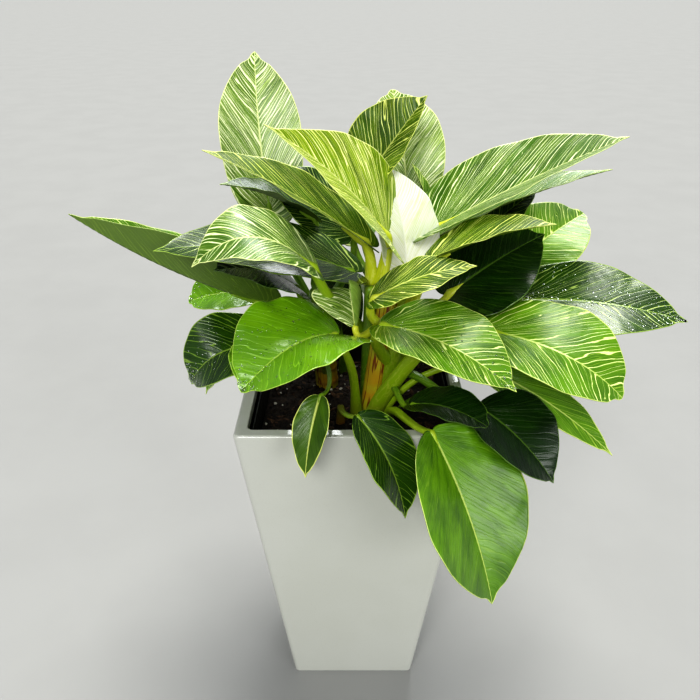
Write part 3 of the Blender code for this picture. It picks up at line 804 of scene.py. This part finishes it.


# Leaves. base and tip are the ends of the midrib. root and turn say where on the stem the petiole
# stands and which way it leaves, and foot is its place in the soil. finish and stalk name the
# looks, stripes and pale weigh the variegation, and drops counts the beads of water on the upper
# face. plump thickens the petiole, spread rounds the blade's shoulders, and slot names a slot
# other than its finish's, which is passed along but not used.

leafDefaults = dict(arch=0.006, peak=0.5, bow=0.0, roll=0, fold=(18, 18), curl=(0, 0), lobe=0.7,
                    widest=0.38, taper=1.1, spread=0.56, wave=0.0010, knee=0.5, rise=55,
                    petiole=0.0028, plump=1.0, sheath=1.0, stem=None, foot=None, turn=None,
                    finish="leafy", stalk="green", stripes=1.0, pale=0.0, drops=0, slot=None)
leaves = {
    "leaf_tall_left": dict(
        stem="stem_left", root=0.056, turn=-145, base=(-0.080, 0.080, 0.473),
        tip=(-0.093, 0.140, 0.605), width=0.080, arch=0.004, bow=-0.003, lobe=1.0, widest=0.48,
        taper=0.95, finish="pale", stripes=1.25, pale=0.26),
    "leaf_centre_cream": dict(
        stem="stem_main", root=0.094, turn=-50, base=(0.028, 0.000, 0.472),
        tip=(-0.066, -0.045, 0.572), width=0.106, arch=0.010, roll=50, fold=(34, 6), lobe=0.9,
        widest=0.25, taper=1.5, finish="lime", stalk="yellow", stripes=1.3, pale=0.15, plump=1.55),
    "leaf_left_upper": dict(
        stem="stem_main", root=0.084, turn=-88, base=(0.010, -0.005, 0.468),
        tip=(-0.120, -0.010, 0.546), width=0.062, roll=16, fold=(28, 12), finish="olive",
        stalk="yellow", plump=1.5, stripes=0.8),
    "leaf_left_plain": dict(
        stem="stem_left", root=0.078, turn=-20, base=(-0.036, 0.038, 0.476),
        tip=(-0.115, 0.024, 0.510), width=0.058, finish="deep", stripes=0.3),
    "leaf_left_silver": dict(
        stem="stem_left", root=0.070, turn=130, base=(-0.002, 0.055, 0.454),
        tip=(-0.080, 0.070, 0.513), width=0.080, roll=8, fold=(-12, 16), lobe=0.3, finish="deep"),
    "leaf_left_arching": dict(
        stem="stem_main", root=0.050, turn=-78, base=(-0.032, -0.060, 0.467),
        tip=(-0.118, -0.096, 0.481), width=0.070, arch=0.026, peak=0.62, roll=14, fold=(4, 14),
        finish="pale", stripes=0.9, pale=0.10, plump=1.4, stalk="bright"),
    "leaf_left_second": dict(
        stem="stem_left", root=0.060, turn=30, base=(-0.002, -0.006, 0.443),
        tip=(-0.160, -0.043, 0.474), width=0.087, arch=0.012, roll=5, finish="deep", fold=(0, 16)),
    "leaf_left_far": dict(
        stem="stem_left", root=0.036, turn=-50, base=(-0.084, 0.015, 0.404),
        tip=(-0.229, -0.025, 0.499), width=0.090, arch=-0.007, fold=(58, 30)),
    "leaf_left_shade": dict(
        stem="stem_left", root=0.052, turn=-42, base=(-0.050, -0.006, 0.428),
        tip=(-0.112, -0.050, 0.460), width=0.086, arch=0.008, fold=(-6, 14), finish="shade"),
    "leaf_left_wet": dict(
        stem="stem_left", root=0.028, turn=-120, base=(-0.088, 0.057, 0.396),
        tip=(-0.159, 0.047, 0.390), width=0.062, arch=0.006, roll=24, widest=0.5, taper=0.7,
        finish="plain", drops=210),
    "leaf_left_low": dict(
        stem="stem_left", root=0.020, turn=-58, base=(-0.078, 0.000, 0.367),
        tip=(-0.146, -0.030, 0.345), width=0.074, arch=0.022, peak=0.62, roll=25, widest=0.45,
        taper=0.8, finish="deep", stripes=0.5, drops=270),
    "leaf_left_low_small": dict(
        stem="stem_left", root=0.008, turn=-93, base=(-0.104, 0.030, 0.347),
        tip=(-0.146, 0.020, 0.302), width=0.034, arch=0.006, roll=10, petiole=0.0020),
    "leaf_left_small": dict(
        stem="stem_left", root=0.026, turn=6, base=(-0.080, -0.050, 0.392),
        tip=(-0.092, -0.095, 0.383), width=0.034, petiole=0.0018, finish="plain"),
    "leaf_front_left": dict(
        foot=(0.003, -0.022), base=(-0.015, -0.075, 0.416), tip=(-0.082, -0.140, 0.402),
        width=0.090, arch=0.016, roll=16, fold=(24, 14), lobe=1.3, widest=0.48, taper=0.8,
        finish="plain", drops=390, stalk="bright", wave=0.0020),
    "leaf_hang_small": dict(
        stem="stem_left", root=0.010, turn=-2, base=(-0.027, -0.094, 0.371),
        tip=(-0.039, -0.125, 0.313), width=0.031, petiole=0.0016, lobe=0.0, finish="olive",
        stripes=0.05, slot="leaf_dark"),
    "leaf_hang_mid": dict(
        foot=(-0.012, -0.035), base=(0.003, -0.097, 0.353), tip=(0.041, -0.140, 0.284),
        width=0.052, bow=-0.004, lobe=0.2, widest=0.45, petiole=0.0020, finish="deep",
        stalk="orange", stripes=0.5),
    "leaf_hang_big": dict(
        foot=(0.030, -0.040), base=(0.062, -0.110, 0.346), tip=(0.111, -0.170, 0.221),
        width=0.112, arch=0.008, bow=-0.001, lobe=0.2, widest=0.45, stalk="bright",
        stripes=0.15),
    "leaf_front_right": dict(
        stem="stem_main", root=0.036, turn=-12, base=(0.024, -0.060, 0.417),
        tip=(0.121, -0.125, 0.393), width=0.080, arch=0.012, roll=-12, fold=(14, 16), lobe=0.45,
        widest=0.45, drops=330, plump=1.3, stalk="bright"),
    "leaf_right_striped": dict(
        stem="stem_main", root=0.044, turn=66, base=(0.110, -0.038, 0.402),
        tip=(0.210, -0.105, 0.375), width=0.092, arch=0.016, peak=0.62, roll=-18, fold=(12, 14),
        widest=0.48, taper=0.8, plump=1.7, stalk="bright"),
    "leaf_right_far": dict(
        stem="stem_main", root=0.054, turn=104, base=(0.149, 0.020, 0.404),
        tip=(0.289, -0.025, 0.403), width=0.086, arch=0.010, roll=-24, fold=(10, 4),
        finish="deep", stripes=0.9, drops=700),
    "leaf_right_upper": dict(
        stem="stem_main", root=0.086, turn=122, base=(0.072, 0.030, 0.469),
        tip=(0.234, 0.038, 0.547), width=0.098, arch=0.004, roll=-24, fold=(12, 38), lobe=1.0,
        widest=0.34, plump=1.4, stalk="yellow", finish="pale"),
    "leaf_right_edge": dict(
        stem="stem_main", root=0.074, turn=162, base=(0.073, 0.056, 0.450),
        tip=(0.234, 0.064, 0.513), width=0.064, roll=2, lobe=0.3),
    "leaf_right_silver": dict(
        stem="stem_back", root=0.058, turn=95, base=(0.111, 0.060, 0.438),
        tip=(0.172, 0.075, 0.491), width=0.056, roll=-20, finish="deep"),
    "leaf_right_lime": dict(
        stem="stem_main", root=0.078, turn=48, base=(0.064, -0.029, 0.461),
        tip=(0.157, -0.046, 0.497), width=0.065, roll=-15, fold=(2, 33), finish="olive",
        stalk="yellow", plump=1.4, stripes=1.2, slot="leaf_lime"),
    "leaf_right_back": dict(
        stem="stem_back", root=0.040, turn=80, base=(0.138, 0.062, 0.408),
        tip=(0.226, 0.098, 0.462), width=0.082, roll=-28, fold=(8, 8), widest=0.5, taper=0.65),
    "leaf_right_dark": dict(
        stem="stem_main", root=0.066, turn=74, base=(0.085, -0.002, 0.420),
        tip=(0.168, 0.020, 0.467), width=0.092, roll=-32, fold=(6, 6), finish="shade",
        stripes=0.3, plump=1.5, stalk="yellow"),
    "leaf_top_pale": dict(
        stem="stem_back", root=0.085, turn=140, base=(0.050, 0.074, 0.480),
        tip=(0.036, 0.120, 0.574), width=0.078, bow=0.001, lobe=0.5, widest=0.5, taper=0.85,
        finish="pale", pale=0.40, stripes=1.4),
    "leaf_top_lime": dict(
        stem="stem_back", root=0.080, turn=-67, base=(0.013, 0.060, 0.506),
        tip=(0.063, 0.060, 0.577), width=0.080, arch=0.002, roll=-50, fold=(14, 40),
        finish="olive", stripes=1.1, slot="leaf_lime"),
    "leaf_top_small": dict(
        stem="stem_back", root=0.072, turn=85, base=(0.065, 0.064, 0.461),
        tip=(0.053, 0.069, 0.517), width=0.024, petiole=0.0018),
    "leaf_centre_lime": dict(
        stem="stem_main", root=0.060, turn=8, base=(0.016, -0.067, 0.444),
        tip=(0.092, -0.078, 0.475), width=0.054, roll=-15, fold=(0, 8), finish="olive",
        stalk="yellow", plump=1.2, stripes=1.25, slot="leaf_lime"),
    "leaf_curled": dict(
        stem="stem_main", root=0.070, turn=-20, base=(0.001, -0.054, 0.412),
        tip=(-0.004, -0.030, 0.436), width=0.080, fold=(34, 50), lobe=0.0, widest=0.70,
        taper=0.40, spread=1.0, curl=(-10, 100), arch=0.0, finish="pale", pale=0.30,
        stalk="yellow", slot="leaf_cream"),
    "leaf_right_hang_far": dict(
        stem="stem_main", root=0.026, turn=82, base=(0.122, -0.010, 0.348),
        tip=(0.228, -0.070, 0.294), width=0.045, arch=0.010, roll=-18, fold=(10, 6), stripes=0.4),
    "leaf_right_hang_dark": dict(
        stem="stem_main", root=0.018, turn=46, base=(0.107, -0.070, 0.344),
        tip=(0.165, -0.112, 0.297), width=0.080, arch=0.010, roll=-20, fold=(10, 28), lobe=0.3,
        finish="shade", stripes=0.2),
    "leaf_right_low": dict(
        stem="stem_main", root=0.010, turn=14, base=(0.050, -0.068, 0.346),
        tip=(0.107, -0.105, 0.348), width=0.042, arch=0.008, roll=-10, widest=0.55, taper=0.6,
        petiole=0.0022, finish="shade", stripes=0.2),
    "leaf_white_new": dict(
        stem="stem_main", root=0.098, turn=80, base=(0.0476, 0.014, 0.433),
        tip=(0.027, 0.035, 0.5246), width=0.066, fold=(4, 30), lobe=0.6, finish="white",
        stalk="yellow"),
    "leaf_back_centre": dict(
        stem="stem_back", root=0.056, turn=-138, base=(0.000, 0.115, 0.430),
        tip=(-0.045, 0.235, 0.455), width=0.080, arch=0.012),
    "leaf_back_right": dict(
        stem="stem_back", root=0.031, turn=150, base=(0.075, 0.125, 0.420),
        tip=(0.110, 0.245, 0.430), width=0.080, arch=0.012),
    "leaf_back_left": dict(
        stem="stem_left", root=0.043, turn=-172, base=(-0.070, 0.100, 0.400),
        tip=(-0.160, 0.170, 0.400), width=0.075, arch=0.012, finish="deep"),
    "leaf_back_side": dict(
        stem="stem_back", root=0.019, turn=110, base=(0.130, 0.100, 0.385),
        tip=(0.225, 0.165, 0.365), width=0.070, arch=0.012, finish="deep"),
    "leaf_inner": dict(
        foot=(-0.010, 0.058), base=(-0.012, 0.068, 0.345), tip=(-0.010, 0.102, 0.418),
        width=0.046, petiole=0.0022, finish="shade"),
    "leaf_back_low": dict(
        stem="stem_back", root=0.015, turn=-175, base=(0.030, 0.120, 0.370),
        tip=(0.030, 0.205, 0.310), width=0.055, arch=0.010),
}
slotOfFinish = {
    "shade": "leaf_dark", "deep": "leaf_dark", "leafy": "leaf_green", "plain": "leaf_green",
    "olive": "leaf_green", "pale": "leaf_green", "lime": "leaf_lime", "white": "leaf_cream"}
bladeGrid = dict(rows=72, columns=13, firstRow=0.04, crowding=1.35, nearEdge=0.965,
                 thickness=0.00085, margin=0.00045, groove=0.0005, ridge=0.0011, relief=0.00016,
                 sweep=0.90, hook=0.25, fan=0.50, tipWidth=0.00025, tipFrom=0.90, tipPinch=0.30,
                 leastBase=0.14, lobeBase=0.44, lobeBack=0.12, lobeFade=9, ribWidth=0.0016,
                 edgeFade=0.006, reliefFade=0.004)


def bladeFrame(leaf):
    chord = Vector(leaf["tip"]) - Vector(leaf["base"])
    along = chord.normalized()
    above = (up - along * along.z).normalized()
    across = along.cross(above)
    turn = math.radians(leaf["roll"])
    rolled = across * math.cos(turn) + above * math.sin(turn)
    return chord, rolled, rolled.cross(along)


def midrib(leaf, u):
    chord, across, above = bladeFrame(leaf)
    base = Vector(leaf["base"])
    crown = base + chord * leaf["peak"] + above * (2 * leaf["arch"]) + across * (2 * leaf["bow"])
    s = 1.0 - u
    return base * (s * s) + crown * (2 * s * u) + (base + chord) * (u * u)


def halfWidth(leaf, u):
    widest = leaf["widest"]
    atBase = bladeGrid["leastBase"] + bladeGrid["lobeBase"] * leaf["lobe"]
    if u < widest:
        share = atBase + (1 - atBase) * math.sin(math.pi / 2 * (u / widest) ** leaf["spread"])
    else:
        share = (1 - ((u - widest) / (1 - widest)) ** 2) ** leaf["taper"]
    if u > bladeGrid["tipFrom"]:
        ending = (u - bladeGrid["tipFrom"]) / (1 - bladeGrid["tipFrom"])
        share *= 1 - bladeGrid["tipPinch"] * math.sin(math.pi * ending) ** 2
    return max(leaf["width"] / 2 * share, bladeGrid["tipWidth"])


def veinCoordinate(u, v):
    # veins leave the midrib at a slant; those below the first fan out from the petiole
    part = abs(v)
    sweep = (bladeGrid["sweep"] * part + bladeGrid["hook"] * part ** 3) * (1 - u) + 0.0001
    if u >= sweep:
        return u - sweep
    return -bladeGrid["fan"] * (1 - u / sweep)


def columnPlaces():
    half = bladeGrid["columns"]
    sides = [(k / half) ** bladeGrid["crowding"] for k in range(half)]
    sides += [bladeGrid["nearEdge"], 1.0]
    return [-v for v in reversed(sides[1:])] + sides


def bladeRows():
    count, first = bladeGrid["rows"], bladeGrid["firstRow"]
    return [0.5 - 0.5 * math.cos(math.pi * (first + (1 - first) * k / count)) if k else 0.0
            for k in range(count + 1)]


def bladeSheet(leaf, seed):
    chord, across, _ = bladeFrame(leaf)
    grid = []
    for u in bladeRows():
        centre = midrib(leaf, u)
        ahead = (midrib(leaf, min(u + 0.01, 1.0)) - midrib(leaf, max(u - 0.01, 0.0))).normalized()
        above = across.cross(ahead).normalized()
        side = ahead.cross(above)
        width = halfWidth(leaf, u)
        nearBase = (1 - u) ** bladeGrid["lobeFade"]
        reachBack = bladeGrid["lobeBack"] * leaf["lobe"] * chord.length
        line = []
        for v in columnPlaces():
            part = abs(v)
            back = reachBack * math.sin(math.pi * part) ** 0.8 * nearBase
            rounding = min(1.0, leaf["lobe"]) * nearBase
            part += rounding * ((1 - math.cos(math.pi * part)) / 2 - part)
            half = 1 if v > 0 else 0
            angle, curl = math.radians(leaf["fold"][half]), math.radians(leaf["curl"][half])
            sideways, lift = part * width * math.cos(angle), part * width * math.sin(angle)
            if curl:  # the half rolls up in an arc
                bent = angle + curl * part
                sideways = width * (math.sin(bent) - math.sin(angle)) / curl
                lift = width * (math.cos(angle) - math.cos(bent)) / curl
            phase = seed * 1.7 + (2.1 if v > 0 else 0.0)
            ripple = math.sin(math.tau * 2.1 * u + phase)
            ripple += 0.6 * math.sin(math.tau * 4.3 * u + phase * 2)
            lift += leaf["wave"] * ripple * part ** 3 * math.sin(math.pi * u)
            line.append(centre + side * (sideways if v > 0 else -sideways) + above * lift
                        - ahead * back)
        grid.append(line)
    return grid


def sheetNormals(grid):
    rows, columns = len(grid), len(grid[0])
    normals = []
    for i in range(rows):
        line = []
        for j in range(columns):
            along = grid[min(i + 1, rows - 1)][j] - grid[max(i - 1, 0)][j]
            over = grid[i][min(j + 1, columns - 1)] - grid[i][max(j - 1, 0)]
            line.append(over.cross(along).normalized())
        normals.append(line)
    return normals


petioleShape = dict(peg=0.016, pegSteps=5, steps=26, reach=0.36, ribPoints=9, ribStep=0.02,
                    soilDepth=0.010, stemDepth=0.007, lean=0.12, sunk=0.55, around=16, swell=1.25,
                    bulge=0.25, narrowing=0.22, ending=0.085, groove=0.55)
flareShape = dict(size=0.9, centre=0.006, length=0.022, depth=0.35)


def petioleStart(leaf):
    rise = math.radians(leaf["rise"])
    if leaf["stem"] is None:
        foot = Vector((*leaf["foot"], soilTop - petioleShape["soilDepth"]))
        out = Vector(leaf["base"]) - foot
        out.z = 0.0
        return foot, (out.normalized() * petioleShape["lean"] + up).normalized()
    stem = stems[leaf["stem"]]
    centre = stemCentre(stem, leaf["root"])
    turn = math.radians(leaf["turn"])
    out = Vector((math.sin(turn), -math.cos(turn), 0.0))
    start = centre + out * (stemRadius(stem, leaf["root"]) - petioleShape["stemDepth"])
    return start, (out * math.cos(rise) + up * math.sin(rise)).normalized()


def bezier(a, b, c, d, t):
    s = 1.0 - t
    return a * s ** 3 + b * 3 * s * s * t + c * 3 * s * t * t + d * t ** 3


def petioleRoute(leaf):
    shape = petioleShape
    start, way = petioleStart(leaf)
    pegEnd = start + way * shape["peg"]
    base = Vector(leaf["base"])
    arrive = (midrib(leaf, shape["ribStep"]) - midrib(leaf, 0.0)).normalized()
    arrive = (arrive * (1 - leaf["knee"]) + up * leaf["knee"]).normalized()
    reach = (base - pegEnd).length * shape["reach"]
    points = [start.lerp(pegEnd, k / shape["pegSteps"]) for k in range(shape["pegSteps"])]
    points += [bezier(pegEnd, pegEnd + way * reach, base - arrive * reach, base, k / shape["steps"])
               for k in range(shape["steps"])]
    _, _, above = bladeFrame(leaf)
    for k in range(shape["ribPoints"]):
        sunk = leaf["petiole"] * shape["sunk"] * math.sin(math.pi / 2 * min(1.0, k / 3))
        points.append(midrib(leaf, shape["ribStep"] * k) - above * sunk)
    return points


def makePetiole(leaf):
    shape, full = petioleShape, leaf["petiole"]
    points = petioleRoute(leaf)
    lengths = [0.0]
    for k in range(1, len(points)):
        lengths.append(lengths[-1] + (points[k] - points[k - 1]).length)
    bladeStart = len(points) - shape["ribPoints"]
    total = lengths[bladeStart]
    sections = []
    for k, gone in enumerate(lengths):
        share = min(gone / total, 1.0)
        bulge = shape["bulge"] * math.sin(math.pi * min(1.0, share * 1.2))
        radius = full * leaf["plump"] * (shape["swell"] + bulge - shape["narrowing"] * share)
        if k > bladeStart:
            radius *= 1 - shape["ending"] * (k - bladeStart)
        beyond = (gone - flareShape["centre"]) / flareShape["length"]
        flare = leaf["sheath"] * full * flareShape["size"] * math.exp(-beyond ** 2)
        channel = 0.30 * math.sin(math.pi * share) ** 0.5 + 0.05

        def section(angle, radius=radius, flare=flare, channel=channel):
            reach = radius * (1 - channel * grooveAt(angle, shape["groove"]))
            deep = reach + flare * flareShape["depth"]
            return (reach + flare) * math.cos(angle), deep * math.sin(angle)
        sections.append(section)
    vertices, faces, marks = sweepTube(points, sections, shape["around"], up)
    return vertices, faces, marks, [min(mark[0] / 1000 / total, 1.0) for mark in marks]


def makeLeaf(node, given, seed):
    leaf = {**leafDefaults, **given}
    grid = bladeSheet(leaf, seed)
    normals = sheetNormals(grid)
    columns, rows = columnPlaces(), bladeRows()
    length = (Vector(leaf["tip"]) - Vector(leaf["base"])).length
    spacing = leafFinishes[leaf["finish"]]["spacing"]
    margin, thickness = bladeGrid["margin"], bladeGrid["thickness"]
    vertices, veins, blades, tones = [], [], [], []
    for face in (1, -1):  # upper, then lower
        for i, u in enumerate(rows):
            width = halfWidth(leaf, u)
            ribWidth = bladeGrid["ribWidth"] * (1 - 0.65 * u)
            full = thickness * (1 - u) + margin * u
            for j, v in enumerate(columns):
                fromRib, inward = abs(v) * width, (1 - abs(v)) * width
                vein = veinCoordinate(u, v) * length * 1000
                profile = math.exp(-(fromRib / ribWidth) ** 2)
                relief = bladeGrid["relief"] * math.cos(math.tau * vein / spacing)
                relief *= min(1.0, inward / bladeGrid["reliefFade"])
                thick = margin + (full - margin) * min(1.0, inward / bladeGrid["edgeFade"])
                offset = relief + face * thick / 2
                if face > 0:
                    offset -= bladeGrid["groove"] * profile * (1 - u)
                else:
                    offset -= bladeGrid["ridge"] * profile * (1 - 0.8 * u)
                vertices.append(grid[i][j] + normals[i][j] * offset)
                veins.append((vein, fromRib * 1000, seed * 7.3 + (3.9 if v > 0 else 0.0)))
                blades.append((u, math.copysign(fromRib, v) * 1000, inward * 1000))
                tones.append((leaf["stripes"], leaf["pale"], 0.0 if face > 0 else 1.0))
    faces = []
    across = len(columns)
    sheet = len(rows) * across
    for i in range(len(rows) - 1):
        for j in range(across - 1):
            a = i * across + j
            b = a + sheet
            faces.append((a, a + 1, a + across + 1, a + across))
            faces.append((b, b + across, b + across + 1, b + 1))
    border = [i * across + j for i, j in gridBorder(len(rows) - 1, across - 1)]
    for a, b in zip(border, border[1:] + border[:1]):
        faces.append((b, a, a + sheet, b + sheet))
    bladeFaces, start = len(faces), len(vertices)
    more, moreFaces, marks, shares = makePetiole(leaf)
    stalks = [(0.0, 0.0, 0.0)] * start + [(*mark, seed * 5.1) for mark in marks]
    vertices += more
    faces += [tuple(start + k for k in face) for face in moreFaces]
    tones += [(share, 0.0, 0.0) for share in shares]
    veins += [(0.0, 0.0, 0.0)] * len(more)
    blades += [(0.0, 9.0, 9.0)] * len(more)
    name, slot = camelName(node), leaf["slot"] or slotOfFinish[leaf["finish"]]
    looks = [leafMaterials[leaf["finish"]], stalkMaterials[leaf["stalk"]]]
    mesh = newPiece(name, vertices, faces, looks, slot, node).data
    for key, values in (("vein", veins), ("blade", blades), ("tone", tones), ("stalk", stalks)):
        storeAttribute(mesh, key, values)
    mesh.polygons.foreach_set("material_index", [0] * bladeFaces + [1] * (len(faces) - bladeFaces))
    if leaf["drops"]:
        makeDrops(name, slot, leaf["drops"], grid, normals, seed)


# Beads of water on the upper faces

dropShape = dict(around=12, least=0.00022, extra=0.00062, rarity=2.5, wobble=0.10, top=0.58,
                 profile=((1.0, -0.06), (0.96, 0.16), (0.80, 0.34), (0.50, 0.50), (0.20, 0.56)))


def makeDrops(name, slot, count, grid, normals, seed):
    draw = random.Random(seed + 100)
    vertices, faces = [], []
    around, profile, wobble = dropShape["around"], dropShape["profile"], dropShape["wobble"]
    for _ in range(count):
        i = draw.randrange(4, len(grid) - 6)
        j = draw.randrange(2, len(grid[0]) - 3)
        across, along = draw.random(), draw.random()
        near, far = (grid[row][j].lerp(grid[row][j + 1], across) for row in (i, i + 1))
        normal = normals[i][j]
        size = dropShape["least"] + dropShape["extra"] * draw.random() ** dropShape["rarity"]
        side = normal.orthogonal().normalized()
        other = normal.cross(side)
        here = near.lerp(far, along) + normal * bladeGrid["thickness"] * 0.5
        start = len(vertices)
        reaches = [1 + draw.uniform(-wobble, wobble) for _ in range(around)]
        for reach, lift in profile:
            for k in range(around):
                angle = math.tau * k / around
                out = side * math.cos(angle) + other * math.sin(angle)
                vertices.append(here + out * size * reach * reaches[k] + normal * size * lift)
        vertices.append(here + normal * size * dropShape["top"])
        top, last = len(vertices) - 1, start + (len(profile) - 1) * around
        faces += ringFaces(len(profile), around, start)
        faces += [(last + k, last + (k + 1) % around, top) for k in range(around)]
        faces.append(tuple(start + k for k in reversed(range(around))))
    return newPiece(name + "Drops", vertices, faces, [waterMaterial], slot)


for index, (leafNode, leafShape) in enumerate(leaves.items()):
    makeLeaf(leafNode, leafShape, index + 1)
print("leaves made")


# Sheaths: the broad feet of petioles, which wrap the main stem. Each follows four control points.

sheaths = {
    "sheathLeft": dict(
        route=((0.012, -0.010, 0.298), (0.012, -0.012, 0.340), (0.013, -0.012, 0.380),
               (0.014, -0.010, 0.430)),
        wide=0.0058, deep=0.0044, look="green"),
    "sheathMiddle": dict(
        route=((0.015, -0.014, 0.298), (0.018, -0.016, 0.345), (0.024, -0.015, 0.385),
               (0.031, -0.010, 0.432)),
        wide=0.0085, deep=0.0058, look="red"),
    "sheathRight": dict(
        route=((0.027, -0.012, 0.298), (0.030, -0.014, 0.345), (0.038, -0.012, 0.380),
               (0.050, -0.006, 0.430)),
        wide=0.0085, deep=0.0060, look="bright"),
    "sheathFront": dict(
        route=((0.017, -0.018, 0.300), (0.024, -0.022, 0.325), (0.042, -0.024, 0.352),
               (0.066, -0.032, 0.390)),
        wide=0.0078, deep=0.0056, look="bright"),
    "sheathLow": dict(
        route=((0.026, -0.018, 0.298), (0.034, -0.022, 0.325), (0.056, -0.022, 0.352),
               (0.092, -0.022, 0.358)),
        wide=0.0034, deep=0.0030, look="bright"),
    "sheathThin": dict(
        route=((0.040, -0.010, 0.298), (0.050, -0.012, 0.318), (0.066, -0.018, 0.326),
               (0.086, -0.022, 0.327)),
        wide=0.0026, deep=0.0024, look="green"),
}
sheathMesh = dict(steps=30, around=24, full=1.12, narrowing=0.30, foot=0.45, footRise=9,
                  groove=0.7, grooveDepth=0.32)


def makeSheath(name, sheath, seed):
    shape, steps = sheathMesh, sheathMesh["steps"]
    points = [bezier(*(Vector(p) for p in sheath["route"]), k / steps) for k in range(steps + 1)]
    sections = []
    for k in range(steps + 1):
        share = k / steps
        full = shape["full"] - shape["narrowing"] * share
        foot = min(1.0, shape["foot"] + share * shape["footRise"])

        def section(angle, full=full * foot, share=share):
            groove = shape["grooveDepth"] * share * grooveAt(angle, shape["groove"])
            wide, deep = sheath["wide"] * full * (1 - groove), sheath["deep"] * full * (1 - groove)
            return wide * math.cos(angle), deep * math.sin(angle)
        sections.append(section)
    vertices, faces, marks = sweepTube(points, sections, shape["around"], behind)
    material = sheathMaterial if sheath["look"] == "red" else stalkMaterials[sheath["look"]]
    piece = newPiece(name, vertices, faces, [material], "stem")
    total = marks[-1][0]
    storeAttribute(piece.data, "stalk", [(*mark, seed * 4.7) for mark in marks])
    storeAttribute(piece.data, "tone", [(mark[0] / total, 0.0, 0.0) for mark in marks])
    return piece


for index, (sheathName, sheathShape) in enumerate(sheaths.items()):
    makeSheath(sheathName, sheathShape, index + 1)
print("sheaths made")


# Floor, light and camera

stageLook = dict(size=400.0, floor=(0.365, 0.365, 0.358), lighter=1.03, sky=(0.93, 0.97, 1.0),
                 skyStrength=0.26)


def makeStage():
    bpy.ops.mesh.primitive_plane_add(size=stageLook["size"])
    floor = bpy.context.object
    floor.name = "floor"
    made, tree, shader = newMaterial("paleFloor")
    lighter = tuple(c * stageLook["lighter"] for c in stageLook["floor"])
    cloud = mottleOf(tree, objectPlace(tree), 6.0)
    setShader(tree, shader, Roughness=0.9, Specular_IOR_Level=0.1,
              Base_Color=mixColour(tree, cloud, stageLook["floor"], lighter))
    floor.data.materials.append(made)
    world = bpy.data.worlds.new("softSky")
    world.use_nodes = True
    background = world.node_tree.nodes["Background"]
    background.inputs[0].default_value = (*stageLook["sky"], 1.0)
    background.inputs[1].default_value = stageLook["skyStrength"]
    bpy.context.scene.world = world


lamps = {
    "topSoftLight": dict(turn=(-15, 6, 0), strength=2.0, spread=30, colour=(1.0, 0.99, 0.95)),
    "frontFill": dict(turn=(52, -20, 0), strength=1.35, spread=24, colour=(1.0, 1.0, 0.98)),
    "sideSheen": dict(turn=(47, 70, 0), strength=0.6, spread=26, colour=(1.0, 1.0, 1.0)),
    "backSheen": dict(turn=(-50, 8, 0), strength=0.8, spread=24, colour=(0.96, 0.98, 1.0)),
}


def makeLamps():
    for name, lamp in lamps.items():
        data = bpy.data.lights.new(name, "SUN")
        data.energy = lamp["strength"]
        data.angle = math.radians(lamp["spread"])
        data.color = lamp["colour"]
        light = bpy.data.objects.new(name, data)
        light.rotation_euler = [math.radians(angle) for angle in lamp["turn"]]
        bpy.context.scene.collection.objects.link(light)


cameraView = dict(lens=36.0, sensor=36.0, place=(-0.0033, -0.5715, 0.666), pitch=62)


def makeCamera():
    data = bpy.data.cameras.new("photoCamera")
    data.lens = cameraView["lens"]
    data.sensor_width = cameraView["sensor"]
    camera = bpy.data.objects.new("photoCamera", data)
    camera.location = cameraView["place"]
    camera.rotation_euler = (math.radians(cameraView["pitch"]), 0.0, 0.0)
    bpy.context.scene.collection.objects.link(camera)
    bpy.context.scene.camera = camera
    bpy.context.scene.view_settings.view_transform = "Standard"
    bpy.context.scene.view_settings.look = "High Contrast"


makeStage()
makeLamps()
makeCamera()
print("stage made")
